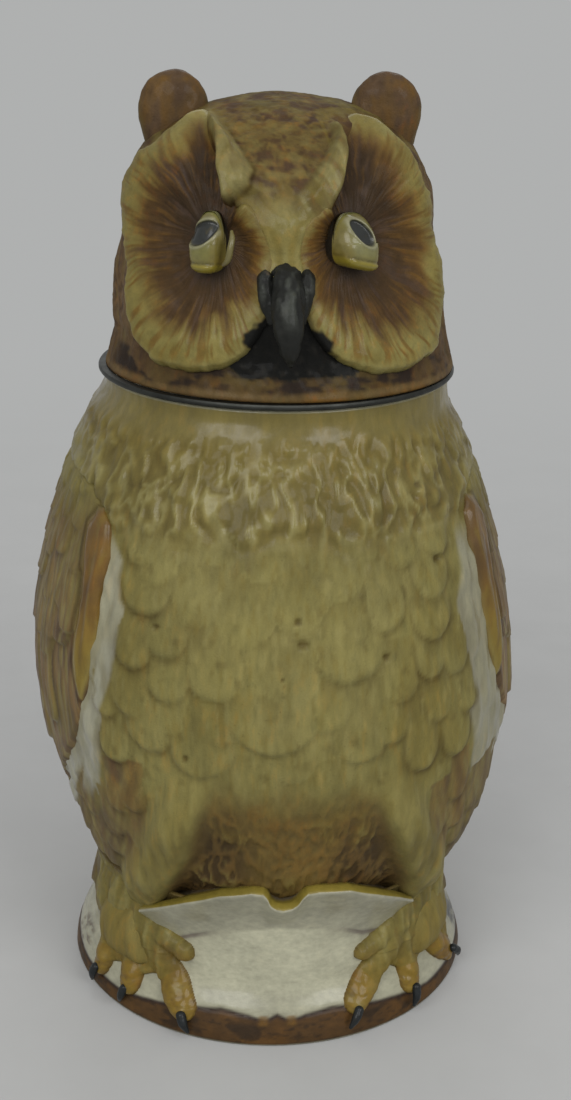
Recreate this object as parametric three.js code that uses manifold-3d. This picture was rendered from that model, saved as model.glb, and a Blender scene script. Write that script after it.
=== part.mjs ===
// Lidded stein of about half a litre in the shape of an owl, in millimetres, +Z up.
// The origin is the centre of the foot. The owl looks along -Y and the handle stands behind it at +Y.
// Angles go round from the owl's front, positive towards +X, so a wing starts near 50 and the back is 180.
import * as THREE from "three";
import { mergeVertices } from "three/addons/utils/BufferGeometryUtils.js";
import Module from "manifold-3d";

const wasm = await Module();
wasm.setup();

// Porcelain vessel
const bodyHeight = 133.7;
const bellyHeight = 72;
const bellyRadius = 50.2;
const waistHeight = 25;
const waistRadius = 36.7;
const plinthHeight = 12;
const plinthRadius = 39;
const coverHeight = 6.5;
const coverStep = 2;
const footRadius = 44.2;
const mouthRadius = 31.3;
const lipWall = 4;
const bodyWall = 5;
const floorThickness = 9;

// Wings, legs and feet
const wingThickness = 0.7;
const legThickness = 4.5;
const tailThickness = 3;
const bellyHollow = 2.6;
const hollowAngle = 36;
const toeRadius = 3.7;
const clawRadius = 1.1;
const hindToeRadius = 3.3;

// Feathers stand out by their rise at the tip
const breastFeatherRise = 1.6;
const ruffRise = 1.3;
const wingFeatherRise = 0.9;
const bladeRise = 1.8;
const backFeatherRise = 1.2;

// Open book under the feet
const bookLipRadius = 43.6;
const bookTipRadius = 42.2;
const bookPanelRadius = 39.6;
const bookLipHeight = 36.5;
const bookTipHeight = 24;
const bookLipDepth = 10;
const bookEdge = 1.8;
const bookNotch = 2.6;

// Porcelain head, which is the lid
const headHeight = 52;
const headRadius = 35.8;
const headWall = 4;
const discRise = 2.6;
const discHollow = 1.8;
const browRadius = 2.2;
const bridgeRadius = 3.4;
const eyeRadius = 4.6;
const eyelidWall = 0.9;
const beakRadius = 4.2;
const beakReach = 7.5;
const nostrilRadius = 1.8;
const earRadius = 6.4;
const earThickness = 8;
const earSpread = 20.5;

// Pewter mount of the lid and its bed of plaster
const lidGap = 0.3;
const rimRadius = 37;
const rimThickness = 1.2;
const rimRounding = 0.4;
const collarDrop = 3.2;
const collarWall = 1.2;
const collarClearance = 0.7;
const plasterThickness = 0.8;
const plasterInset = 1.2;

// Hinge
const hingeReach = 15;
const hingeRise = 2;
const hingeWidth = 20;
const knuckleRadius = 3.4;
const knuckleGap = 0.3;
const pinRadius = 1.1;
const pinClearance = 0.25;
const pinCapRadius = 2.2;
const pinCapHeight = 1.3;
const shankThickness = 2.8;
const seatGap = 0.3;

// Thumblift
const thumbHeight = 21;
const thumbWidth = 17;
const thumbStem = 7;
const thumbThickness = 2.6;

// Handle and the strap round its top
const handleReach = 32.6;
const handleDrop = 14.7;
const handleFoot = 36;
const handleHalfWidth = 6;
const handleHalfDepth = 5;
const strapWidth = 9;
const strapWall = 1.3;
const strapClearance = 0.3;
const strapNeckWidth = 10;

// Fineness of the faces, as counts
const bodySides = 48;
const bodyRings = 24;
const headSides = 48;
const headRings = 15;
const cavitySides = 32;
const metalSides = 48;
const knuckleSides = 16;
const toeSides = 8;
const curveSteps = 8;
const handleSteps = 32;
const handleSamples = 256;

// One overrun serves all cuts, and points closer than the merge distance are one point
const overrun = 1;
const mergeDistance = 0.001;

// Outlines as shares: the first of a pair goes along, the second says how far across
const flankShares = [[0.19, 0.44], [0.43, 0.7], [0.7, 0.92]];
const shoulderShares = [
  [0.23, 0.08], [0.42, 0.23], [0.58, 0.4], [0.71, 0.56], [0.84, 0.8], [0.95, 0.96],
];
const headShares = [
  [0, 1], [0.115, 0.945], [0.23, 0.93], [0.365, 0.905], [0.5, 0.866],
  [0.654, 0.838], [0.808, 0.735], [0.923, 0.517], [0.98, 0.26],
];

// Rows of a patch: share of the height, first and last angle, share of the thickness
const wingShares = [
  [0.24, 92, 108, -0.2], [0.3, 78, 126, 0.7], [0.37, 60, 138, 1], [0.45, 56, 146, 1], [0.53, 52, 150, 1],
  [0.61, 47, 152, 1], [0.69, 46, 152, 1], [0.76, 49, 148, 0.9], [0.82, 56, 138, 0.7], [0.88, 72, 120, -0.2],
];
const legShares = [
  [0.07, 20, 72, 0.7], [0.11, 20, 72, 0.85], [0.165, 26, 72, 0.95], [0.22, 34, 70, 0.9],
  [0.3, 34, 66, 0.75], [0.39, 30, 60, 0.7], [0.48, 25, 50, 0.5], [0.57, 22, 40, -0.2],
];
const tailShares = [[0.06, 163, 197, 0.9], [0.12, 162, 198, 1], [0.18, 165, 195, 0.9], [0.24, 170, 190, -0.2]];

// Cross sections of a patch: share of the way round, share of the thickness
const wingSectionShares = [
  [0, -0.4], [0.03, 0.8], [0.1, 1], [0.22, 0.96], [0.36, 0.88],
  [0.5, 0.8], [0.64, 0.7], [0.78, 0.6], [0.9, 0.45], [1, -0.4],
];
const legSectionShares = [[0, -0.4], [0.12, 0.5], [0.3, 0.95], [0.5, 1], [0.7, 0.95], [0.88, 0.5], [1, -0.4]];

// Feathers: angle and share of the body's height at the tip, half the width as an angle, share of the height that it is long
const breastFeatherShares = [
  [-17, 0.79, 6.5, 0.09], [4, 0.77, 7.5, 0.09], [22, 0.8, 6, 0.08], [-36, 0.715, 7, 0.09], [-21, 0.7, 6, 0.09],
  [-5, 0.68, 7, 0.09], [10, 0.7, 6, 0.09], [25, 0.694, 6, 0.09], [40, 0.723, 5.6, 0.08], [39, 0.655, 5.6, 0.08],
  [-34, 0.635, 5.4, 0.08], [-15, 0.6, 6.4, 0.09], [0, 0.585, 8.4, 0.09], [15, 0.628, 8, 0.1], [-27, 0.56, 5.2, 0.08],
  [27, 0.57, 5, 0.09], [42, 0.585, 5, 0.09], [-3, 0.51, 9.6, 0.09], [15, 0.5, 6.4, 0.09], [-18, 0.478, 7, 0.1],
  [-37, 0.5, 6, 0.09], [31, 0.475, 5.4, 0.09], [44, 0.49, 5, 0.1],
];
const bladeShares = [[54, 0.565, 3.6, 0.2]];
const wingFeatherShares = [
  [64, 0.46, 5.4, 0.13], [76, 0.4, 5.4, 0.14], [88, 0.35, 5.4, 0.15], [100, 0.31, 5.4, 0.15], [112, 0.31, 5.4, 0.14],
  [124, 0.35, 5.4, 0.13], [136, 0.42, 5.4, 0.13],
];
const coverFeatherShares = [
  [68, 0.61, 5.4, 0.11], [81, 0.57, 5.4, 0.11], [94, 0.55, 5.4, 0.11], [107, 0.55, 5.4, 0.11], [120, 0.57, 5.4, 0.11],
  [134, 0.61, 5.4, 0.11], [74, 0.73, 5, 0.09], [89, 0.71, 5, 0.09], [104, 0.7, 5, 0.09], [119, 0.72, 5, 0.09],
];
const backFeatherShares = [
  [160, 0.42, 4.4, 0.1], [160, 0.57, 4.4, 0.1], [160, 0.72, 4.4, 0.09], [147, 0.81, 4.8, 0.08], [131, 0.84, 4.8, 0.08],
];
// Rows of ruff tufts round the neck, from one shoulder to the other
const ruffShares = [0.835, 0.895];
const ruffAngle = 76;
const ruffTufts = 11;
const tuftShares = [4.4, 0.07];
// Along a feather from its tip up: share of the length, of the width and of the rise
const featherRowShares = [[0, 0.5, 0.85], [0.25, 1, 1], [1, 0.85, -0.3]];
const featherSectionShares = [[0, 0.6], [0.5, 1], [1, 0.6]];

// Toes of one foot: angle at the root and at the claw
const toeAngles = [[36, 26], [44, 43], [55, 61]];
const hindToeAngle = 27;

// Edge of the book's lip: angle, how far the edge has sunk from its peak to its tip
const bookLipShares = [[-45, 1], [-36, 0.72], [-27, 0.36], [-18, 0.1], [-9, 0], [-4, 0.04], [0, 0.08]];
const bookLipPower = 3;

// Edge of a facial disc: angle and share of the head's height
const discShares = [
  [60, 0.93], [65, 0.84], [71, 0.7], [75, 0.56], [72, 0.42], [67, 0.29], [60, 0.17], [46, 0.09], [30, 0.09],
  [18, 0.15], [11, 0.25], [8, 0.37], [6, 0.5], [8, 0.65], [15, 0.79], [33, 0.9],
];
const discCentreShares = [35, 0.52];
// Rings of a facial disc from the eye out over its rim and back beneath: share of the way out, rise as a share
const discRingShares = [[0.15, -0.6], [0.5, -0.1], [0.8, 0.7], [0.93, 1], [1, 0.5], [1.02, -0.4], [0.8, -1.2], [0.2, -1.2]];
const discHollowShares = [24, 0.5];
// Brow beside the forehead and bridge above the beak: angle, share of the head's height, of the rise and of the radius
const browShares = [[6, 0.6, 0.3, 0.5], [12, 0.72, 0.5, 0.8], [21, 0.83, 0.6, 1], [32, 0.91, 0.5, 0.5]];
const bridgeShares = [[0, 0.66, -0.8, 0.4], [0, 0.58, -0.3, 0.9], [0, 0.49, -0.2, 1], [0, 0.4, -0.5, 0.8]];
const eyeAngle = 24;
const eyeHeightShare = 0.535;
const eyeSeatShare = 0.55;
// Beak from its root down to its hooked tip: share of the head's height, of its reach and of its radius
const beakShares = [[0.44, -0.1, 0.75], [0.38, 0.25, 1], [0.29, 0.55, 0.9], [0.2, 0.75, 0.6], [0.14, 0.62, 0.14]];
const nostrilAngle = 6.5;
const nostrilHeightShare = 0.4;
const earHeightShare = 0.965;
const earLean = 12;

// Handle's course from the upper root to the lower one: share of the reach, share of the way down
const handleShares = [
  [-0.35, 0.17], [-0.02, 0.03], [0.2, 0], [0.52, 0.06], [0.86, 0.26],
  [0.98, 0.5], [0.8, 0.76], [0.34, 0.95], [-0.3, 1.02],
];
const handleBackShare = 0.9;
const embedShare = 0.5;
const thumbShares = [[0.3, 0], [0.34, 0.3], [0.8, 0.42], [1, 0.62], [0.86, 0.84], [0.5, 0.9], [0.3, 1], [0, 1]];
const knuckleCount = 5;

// Sizes that follow from the ones above
const neckRadius = mouthRadius + lipWall;
const rimBottom = bodyHeight + lidGap;
const rimTop = rimBottom + rimThickness;
const headBottom = rimTop + plasterThickness;
const collarRadius = mouthRadius - collarClearance;
const collarBore = collarRadius - collarWall;
const hingeY = rimRadius + hingeReach;
const hingeZ = rimBottom + hingeRise;
const knuckleWidth = (hingeWidth - knuckleGap * (knuckleCount - 1)) / knuckleCount;
const knuckleSpans = Array.from({ length: knuckleCount }, (_, k) => {
  const from = -hingeWidth / 2 + k * (knuckleWidth + knuckleGap);
  return [from, from + knuckleWidth];
});
const strapBase = hingeZ - knuckleRadius - knuckleGap;
const handleTop = bodyHeight - handleDrop;

// Materials
const bisque = new THREE.MeshStandardMaterial({ color: 0xa08c55, roughness: 0.6, metalness: 0 });
const brownBisque = new THREE.MeshStandardMaterial({ color: 0x7d5a3a, roughness: 0.6, metalness: 0 });
const pewter = new THREE.MeshStandardMaterial({ color: 0x6f7173, roughness: 0.45, metalness: 0.9 });
const steel = new THREE.MeshStandardMaterial({ color: 0x8a8c8e, roughness: 0.35, metalness: 1 });
const plaster = new THREE.MeshStandardMaterial({ color: 0xd9d4c6, roughness: 0.9, metalness: 0 });

// A point at an angle from the owl's front, a distance from the axis and a height
function around(degrees, radius, height) {
  const angle = THREE.MathUtils.degToRad(degrees);
  return new THREE.Vector3(radius * Math.sin(angle), -radius * Math.cos(angle), height);
}

// Smooth outline through points of height and radius
function smoothOutline(points) {
  const curve = new THREE.SplineCurve(points.map(([height, radius]) => new THREE.Vector2(radius, height)));
  return curve.getPoints(points.length * curveSteps);
}

function radiusAt(outline, height) {
  const above = outline.findIndex((point) => point.y >= height);
  if (above === 0) return outline[0].x;
  if (above < 0) return outline[outline.length - 1].x;
  const low = outline[above - 1];
  const high = outline[above];
  return THREE.MathUtils.mapLinear(height, low.y, high.y, low.x, high.x);
}

const flankPoints = flankShares.map(([along, across]) => [
  THREE.MathUtils.lerp(waistHeight, bellyHeight, along),
  THREE.MathUtils.lerp(waistRadius, bellyRadius, across),
]);
const shoulderPoints = shoulderShares.map(([along, across]) => [
  THREE.MathUtils.lerp(bellyHeight, bodyHeight, along),
  THREE.MathUtils.lerp(bellyRadius, neckRadius, across),
]);
const bodyOutline = smoothOutline([
  [0, footRadius],
  [coverHeight, footRadius - coverStep],
  [plinthHeight, plinthRadius],
  [(plinthHeight + waistHeight) / 2, plinthRadius],
  [waistHeight, waistRadius],
  ...flankPoints,
  [bellyHeight, bellyRadius],
  ...shoulderPoints,
  [bodyHeight, neckRadius],
]);
const headOutline = smoothOutline([
  ...headShares.map(([along, across]) => [headBottom + headHeight * along, headRadius * across]),
  [headBottom + headHeight, 0],
]);

// A solid for joining and cutting, turned right side out if its skin was wound the other way
function solid(geometry) {
  const loose = geometry.index ? geometry.toNonIndexed() : geometry;
  const bare = new THREE.BufferGeometry().setAttribute("position", loose.getAttribute("position"));
  const merged = mergeVertices(bare, mergeDistance);
  const vertProperties = merged.getAttribute("position").array;
  const triVerts = new Uint32Array(merged.index.array);
  const made = new wasm.Manifold(new wasm.Mesh({ numProp: 3, vertProperties, triVerts }));
  if (made.volume() >= 0) return made;
  return new wasm.Manifold(new wasm.Mesh({ numProp: 3, vertProperties, triVerts: triVerts.reverse() }));
}

function joined(solids) {
  return solids.reduce((whole, next) => whole.add(next));
}

function meshOf(name, shape, material) {
  const result = shape.getMesh();
  const geometry = new THREE.BufferGeometry();
  geometry.setAttribute("position", new THREE.BufferAttribute(result.vertProperties, 3));
  geometry.setIndex(new THREE.BufferAttribute(result.triVerts, 1));
  geometry.computeVertexNormals();
  const mesh = new THREE.Mesh(geometry, material);
  mesh.name = name;
  return mesh;
}

// A turned form about the stein's axis from points of radius and height
function turned(points, sides) {
  const profile = points.map(([radius, height]) => new THREE.Vector2(radius, height));
  return new THREE.LatheGeometry(profile, sides).rotateX(Math.PI / 2);
}

// A closed skin over rings of equal counts, with a fan over each end
function loft(rings) {
  const count = rings[0].length;
  const points = rings.flat();
  const triangles = [];
  const centres = [rings[0], rings[rings.length - 1]].map((ring) => {
    const centre = ring.reduce((sum, point) => sum.add(point), new THREE.Vector3()).divideScalar(count);
    return points.push(centre) - 1;
  });
  const last = count * (rings.length - 1);
  for (let i = 0; i < count; i += 1) {
    const next = (i + 1) % count;
    for (let start = 0; start < last; start += count) {
      triangles.push(start + i, start + next, start + count + next);
      triangles.push(start + i, start + count + next, start + count + i);
    }
    triangles.push(centres[0], next, i);
    triangles.push(centres[1], last + i, last + next);
  }
  const geometry = new THREE.BufferGeometry().setFromPoints(points);
  geometry.setIndex(triangles);
  return solid(geometry);
}

// A round finger through points, each with its own radius
function finger(points, radii) {
  const rings = points.map((point, k) => {
    const before = points[Math.max(k - 1, 0)];
    const after = points[Math.min(k + 1, points.length - 1)];
    const along = after.clone().sub(before).normalize();
    const across = new THREE.Vector3(-point.y, point.x, 0).normalize();
    const outward = across.clone().cross(along).normalize();
    const side = along.clone().cross(outward).normalize();
    return Array.from({ length: toeSides }, (_, i) => {
      const angle = (i / toeSides) * Math.PI * 2;
      const spoke = side.clone().multiplyScalar(Math.cos(angle)).addScaledVector(outward, Math.sin(angle));
      return point.clone().addScaledVector(spoke, radii[k]);
    });
  });
  return loft(rings);
}

function mirrored(shape) {
  return shape.mirror([1, 0, 0]);
}

// How far the belly is hollowed between the legs
function hollowAt(degrees, height) {
  const acrossShare = degrees / hollowAngle;
  const upShare = (height - waistHeight) / (bellyHeight - waistHeight);
  const fade = (share) => Math.cos(THREE.MathUtils.clamp(share, -1, 1) * Math.PI) / 2 + 1 / 2;
  return bellyHollow * fade(acrossShare) * fade(upShare * 2 - 1);
}

// How far a facial disc is hollowed about the eye
function discHollowAt(degrees, height) {
  const [halfAngle, halfShare] = discHollowShares;
  const [centreAngle, centreShare] = discCentreShares;
  const across = (Math.abs(degrees) - centreAngle) / halfAngle;
  const up = ((height - headBottom) / headHeight - centreShare) / halfShare;
  return discHollow * Math.max(1 - Math.hypot(across, up) ** 2, 0);
}

// The vessel's outside, closed at the mouth; grow makes it larger all over, to cut what sits against it
function vesselOutside(grow) {
  const heights = Array.from({ length: bodyRings + 1 }, (_, k) => (bodyHeight * k) / bodyRings);
  const profile = heights.map((height) => [radiusAt(bodyOutline, height) + grow, height]);
  const geometry = turned([[0, 0], ...profile, [0, bodyHeight]], bodySides);
  const places = geometry.getAttribute("position");
  for (let i = 0; i < places.count; i += 1) {
    const x = places.getX(i);
    const y = places.getY(i);
    const radius = Math.hypot(x, y);
    if (radius < waistRadius / 2) continue;
    const degrees = THREE.MathUtils.radToDeg(Math.atan2(x, -y));
    const share = 1 - hollowAt(degrees, places.getZ(i)) / radius;
    places.setXY(i, x * share, y * share);
  }
  return solid(geometry);
}

// A raised patch that follows the vessel: rows up its height, each with one cross section
function patch(rows, sections, thickness) {
  const rings = rows.map(([heightShare, first, last, thickShare]) => {
    const height = bodyHeight * heightShare;
    const radius = radiusAt(bodyOutline, height);
    const point = (share, rise) => around(THREE.MathUtils.lerp(first, last, share), radius + rise, height);
    const outer = sections.map(([share, riseShare]) => point(share, thickness * thickShare * riseShare));
    const inner = sections.map(([share]) => point(share, -bodyWall * embedShare)).reverse();
    return [...outer, ...inner];
  });
  return loft(rings);
}

// A feather that lies on something: under is how far that stands out already
function feather([degrees, tipShare, halfAngle, lengthShare], under, rise) {
  const thickness = under + rise;
  const rows = featherRowShares.map(([along, width, riseShare]) => [
    tipShare + lengthShare * along,
    degrees - halfAngle * width,
    degrees + halfAngle * width,
    (under + rise * riseShare) / thickness,
  ]);
  return patch(rows, featherSectionShares, thickness);
}

function ruff() {
  const step = (ruffAngle * 2) / ruffTufts;
  return ruffShares.flatMap((share, row) => Array.from({ length: ruffTufts }, (_, k) => {
    const degrees = -ruffAngle + step * (k + 1 - row / ruffShares.length);
    return feather([degrees, share, ...tuftShares], 0, ruffRise);
  }));
}

function plumage() {
  const breast = breastFeatherShares.map((shares) => feather(shares, 0, breastFeatherRise));
  const sides = joined([
    ...bladeShares.map((shares) => feather(shares, wingThickness, bladeRise)),
    ...wingFeatherShares.map((shares) => feather(shares, wingThickness, wingFeatherRise)),
    ...coverFeatherShares.map((shares) => feather(shares, wingThickness, wingFeatherRise)),
    ...backFeatherShares.map((shares) => feather(shares, 0, backFeatherRise)),
  ]);
  return joined([...breast, ...ruff(), sides, mirrored(sides)]);
}

function foot() {
  const ankle = plinthHeight + coverHeight;
  const onPlinth = radiusAt(bodyOutline, plinthHeight);
  const toes = toeAngles.map(([root, tip]) => {
    const clawHeight = coverHeight - clawRadius;
    const points = [
      around(root, onPlinth, ankle),
      around((root + tip) / 2, onPlinth + toeRadius / 2, (ankle + coverHeight) / 2),
      around(tip, footRadius - coverStep, coverHeight + clawRadius),
      around(tip, footRadius - clawRadius, clawHeight - clawRadius),
    ];
    return finger(points, [toeRadius, toeRadius, toeRadius - clawRadius, clawRadius]);
  });
  const hindToe = new THREE.SphereGeometry(hindToeRadius, toeSides * 2, toeSides);
  const place = around(hindToeAngle, bookPanelRadius, ankle);
  toes.push(solid(hindToe.translate(place.x, place.y, place.z)));
  return joined(toes);
}

// The open book: a panel, and above it a lip with a bow in its edge and a notch over the spine
function book() {
  const right = bookLipShares.slice(0, -1).reverse().map(([degrees, sunk]) => [-degrees, sunk]);
  const whole = [...bookLipShares, ...right];
  const rings = whole.map(([degrees, sunk]) => {
    const taper = 1 - Math.abs(degrees / bookLipShares[0][0]) ** bookLipPower;
    const notch = degrees === 0 ? bookNotch : 0;
    const top = THREE.MathUtils.lerp(bookLipHeight, bookTipHeight, sunk) - notch;
    const low = top - bookEdge - (bookLipDepth - bookEdge) * taper;
    const edge = THREE.MathUtils.lerp(bookLipRadius, bookTipRadius, sunk);
    const back = waistRadius - bodyWall * embedShare;
    return [
      around(degrees, back, low),
      around(degrees, bookPanelRadius, low),
      around(degrees, edge, top - bookEdge),
      around(degrees, edge, top),
      around(degrees, back, top),
    ];
  });
  const panelEdge = toeAngles[0][1];
  const panel = Array.from({ length: curveSteps + 1 }, (_, k) => {
    const degrees = THREE.MathUtils.lerp(-panelEdge, panelEdge, k / curveSteps);
    const back = waistRadius - bodyWall * embedShare;
    return [
      around(degrees, back, coverHeight),
      around(degrees, radiusAt(bodyOutline, coverHeight), coverHeight),
      around(degrees, bookPanelRadius, plinthHeight),
      around(degrees, bookPanelRadius, bookLipHeight - bookLipDepth),
      around(degrees, back, bookLipHeight - bookLipDepth),
    ];
  });
  return loft(rings).add(loft(panel));
}

function vesselCavity() {
  const steps = curveSteps * 2;
  const heights = Array.from({ length: steps }, (_, k) => {
    return THREE.MathUtils.lerp(floorThickness + bodyWall, bodyHeight - collarDrop * 2, k / (steps - 1));
  });
  const wall = heights.map((height) => [radiusAt(bodyOutline, height) - bodyWall, height]);
  const profile = [
    [0, floorThickness],
    [wall[0][0] - bodyWall, floorThickness],
    ...wall.slice(0, -1),
    [mouthRadius, bodyHeight - collarDrop * 2],
    [mouthRadius, bodyHeight + overrun],
    [0, bodyHeight + overrun],
  ];
  return solid(turned(profile, cavitySides));
}

function owlBody() {
  const wing = patch(wingShares, wingSectionShares, wingThickness);
  const leg = patch(legShares, legSectionShares, legThickness);
  const toes = foot();
  const tail = patch(tailShares, legSectionShares, tailThickness);
  const outside = joined([
    vesselOutside(0), plumage(), wing, mirrored(wing), leg, mirrored(leg), toes, mirrored(toes), tail, book(),
  ]);
  return outside.subtract(vesselCavity());
}

function headOutside() {
  const heights = Array.from({ length: headRings + 1 }, (_, k) => Math.sin((k / headRings) * (Math.PI / 2)));
  const profile = heights.map((share) => {
    const height = headBottom + headHeight * share;
    return [share === 1 ? 0 : radiusAt(headOutline, height), height];
  });
  const geometry = turned([[0, headBottom], ...profile], headSides);
  const places = geometry.getAttribute("position");
  for (let i = 0; i < places.count; i += 1) {
    const x = places.getX(i);
    const y = places.getY(i);
    const radius = Math.hypot(x, y);
    if (radius < headWall) continue;
    const degrees = THREE.MathUtils.radToDeg(Math.atan2(x, -y));
    const share = 1 - discHollowAt(degrees, places.getZ(i)) / radius;
    places.setXY(i, x * share, y * share);
  }
  return solid(geometry);
}

// A round ridge over the head's surface
function ridge(shares, radius) {
  const points = shares.map(([degrees, up, out]) => {
    const height = headBottom + headHeight * up;
    return around(degrees, radiusAt(headOutline, height) + discRise * out, height);
  });
  return finger(points, shares.map(([, , , share]) => radius * share));
}

function facialDisc() {
  const [centreAngle, centreShare] = discCentreShares;
  const rings = discRingShares.map(([out, riseShare]) => discShares.map(([angle, share]) => {
    const height = headBottom + headHeight * THREE.MathUtils.lerp(centreShare, share, out);
    const degrees = THREE.MathUtils.lerp(centreAngle, angle, out);
    return around(degrees, radiusAt(headOutline, height) + discRise * riseShare, height);
  }));
  return loft(rings);
}

function eye() {
  const height = headBottom + headHeight * eyeHeightShare;
  const seat = radiusAt(headOutline, height) + discRise - eyeRadius * eyeSeatShare;
  const ball = new THREE.SphereGeometry(eyeRadius, toeSides * 2, toeSides);
  const lid = new THREE.TorusGeometry(eyeRadius - eyelidWall / 2, eyelidWall, toeSides, toeSides * 2);
  lid.rotateX(Math.PI / 2).rotateZ(THREE.MathUtils.degToRad(eyeAngle));
  const place = around(eyeAngle, seat, height);
  const front = around(eyeAngle, seat + eyelidWall, height);
  ball.translate(place.x, place.y, place.z);
  lid.translate(front.x, front.y, front.z);
  return solid(ball).add(solid(lid));
}

function beak() {
  const points = beakShares.map(([up, out]) => {
    const height = headBottom + headHeight * up;
    return around(0, radiusAt(headOutline, height) + beakReach * out, height);
  });
  const radii = beakShares.map(([, , share]) => beakRadius * share);
  const height = headBottom + headHeight * nostrilHeightShare;
  const nostrils = [-nostrilAngle, nostrilAngle].map((angle) => {
    const place = around(angle, radiusAt(headOutline, height) + nostrilRadius, height);
    return solid(new THREE.SphereGeometry(nostrilRadius, toeSides, toeSides).translate(place.x, place.y, place.z));
  });
  return joined([finger(points, radii), ...nostrils]);
}

function ear() {
  const tab = new THREE.SphereGeometry(earRadius, toeSides * 2, toeSides);
  tab.scale(1, earThickness / (earRadius * 2), 1);
  tab.rotateY(THREE.MathUtils.degToRad(earLean));
  tab.translate(earSpread, 0, headBottom + headHeight * earHeightShare);
  return solid(tab);
}

function headCavity() {
  const levels = headShares.filter(([along]) => along < 1 - headWall / headHeight);
  const wall = levels.map(([along, across]) => [headRadius * across - headWall, headBottom + headHeight * along]);
  const top = headBottom + headHeight - headWall;
  const profile = [
    [0, headBottom - overrun],
    [wall[0][0], headBottom - overrun],
    ...wall.filter(([radius, height]) => radius > headWall && height < top - headWall / 2),
    [headWall, top],
    [0, top],
  ];
  return solid(turned(profile, cavitySides));
}

function owlHead() {
  const disc = facialDisc();
  const look = eye();
  const tab = ear();
  const brow = ridge(browShares, browRadius);
  const outside = joined([
    headOutside(), disc, mirrored(disc), look, mirrored(look), tab, mirrored(tab), brow, mirrored(brow),
    ridge(bridgeShares, bridgeRadius), beak(),
  ]);
  return outside.subtract(headCavity());
}

function lidRim() {
  const profile = [
    [collarBore, rimBottom - collarDrop],
    [collarRadius, rimBottom - collarDrop],
    [collarRadius, rimBottom],
    [rimRadius - rimRounding, rimBottom],
    [rimRadius, rimBottom + rimRounding],
    [rimRadius, rimTop - rimRounding],
    [rimRadius - rimRounding, rimTop],
    [collarBore, rimTop],
    [collarBore, rimBottom - collarDrop],
  ];
  return solid(turned(profile, metalSides));
}

function plasterBed() {
  const inner = headRadius - headWall - plasterInset;
  const outer = headRadius - plasterInset;
  const profile = [
    [inner, rimTop],
    [outer, rimTop],
    [outer, headBottom],
    [inner, headBottom],
    [inner, rimTop],
  ];
  return solid(turned(profile, metalSides));
}

// A bar along X, such as a pin or a knuckle, about the hinge's axis
function barX(radius, from, to) {
  const bar = new THREE.CylinderGeometry(radius, radius, to - from, knuckleSides).rotateZ(Math.PI / 2);
  return solid(bar.translate((from + to) / 2, hingeY, hingeZ));
}

function box(low, high) {
  const size = high.clone().sub(low);
  const centre = high.clone().add(low).divideScalar(2);
  return solid(new THREE.BoxGeometry(size.x, size.y, size.z).translate(centre.x, centre.y, centre.z));
}

function pinBore() {
  return barX(pinRadius + pinClearance, -hingeWidth, hingeWidth);
}

// The lever between the rim and the hinge carries every second knuckle
function lidShank() {
  const low = rimBottom + rimRounding;
  const start = rimRadius + seatGap;
  const end = hingeY - knuckleRadius - knuckleGap;
  const own = knuckleSpans.filter((_, k) => k % 2 === 1);
  const plate = box(
    new THREE.Vector3(own[0][0], start, low),
    new THREE.Vector3(own[own.length - 1][1], end, low + shankThickness),
  );
  const tongues = own.flatMap(([from, to]) => [
    box(new THREE.Vector3(from, end - overrun, low), new THREE.Vector3(to, hingeY, low + shankThickness)),
    barX(knuckleRadius, from, to),
  ]);
  return joined([plate, ...tongues]).subtract(pinBore());
}

function handleCurve() {
  const root = radiusAt(bodyOutline, handleTop) * handleBackShare;
  const reach = bellyRadius + handleReach - root;
  const points = handleShares.map(([out, down]) => {
    return new THREE.Vector3(0, root + reach * out, THREE.MathUtils.lerp(handleTop, handleFoot, down));
  });
  return new THREE.CatmullRomCurve3(points, false, "centripetal");
}

// Where the hinge stands over the handle, as a share of the handle's length
function strapShare() {
  const points = handleCurve().getSpacedPoints(handleSamples);
  return points.findIndex((point) => point.y >= hingeY) / (points.length - 1);
}

// A stretch of the handle, larger all over by grow
function handleForm(grow, fromShare, toShare, steps) {
  const whole = handleCurve();
  const points = Array.from({ length: steps + 1 }, (_, k) => {
    return whole.getPointAt(THREE.MathUtils.lerp(fromShare, toShare, k / steps));
  });
  const section = new THREE.Shape();
  section.absellipse(0, 0, handleHalfWidth + grow, handleHalfDepth + grow, 0, Math.PI * 2);
  const course = new THREE.CatmullRomCurve3(points, false, "centripetal");
  const sides = curveSteps - 1;
  return solid(new THREE.ExtrudeGeometry(section, { steps, curveSegments: sides, extrudePath: course }));
}

function handle() {
  return handleForm(0, 0, 1, handleSteps).subtract(vesselOutside(seatGap));
}

function handleStrap() {
  const spans = knuckleSpans.filter((_, k) => k % 2 === 0);
  const neck = new THREE.Shape([
    new THREE.Vector2(-strapNeckWidth / 2, handleTop),
    new THREE.Vector2(strapNeckWidth / 2, handleTop),
    new THREE.Vector2(hingeWidth / 2, strapBase),
    new THREE.Vector2(-hingeWidth / 2, strapBase),
  ]);
  const neckForm = new THREE.ExtrudeGeometry(neck, { depth: knuckleRadius * 2, bevelEnabled: false, steps: 1 });
  neckForm.rotateX(Math.PI / 2).translate(0, hingeY + knuckleRadius, 0);
  const uprights = spans.flatMap(([from, to]) => [
    box(
      new THREE.Vector3(from, hingeY - knuckleRadius, strapBase - overrun),
      new THREE.Vector3(to, hingeY + knuckleRadius, hingeZ),
    ),
    barX(knuckleRadius, from, to),
  ]);
  const middle = strapShare();
  const half = strapWidth / handleCurve().getLength() / 2;
  const band = handleForm(strapWall + strapClearance, middle - half, middle + half, curveSteps);
  const whole = joined([band, solid(neckForm), ...uprights]);
  return whole.subtract(handleForm(strapClearance, 0, 1, handleSteps)).subtract(pinBore());
}

function hingePin() {
  const end = hingeWidth / 2 + seatGap;
  return barX(pinRadius, -end, end);
}

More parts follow.
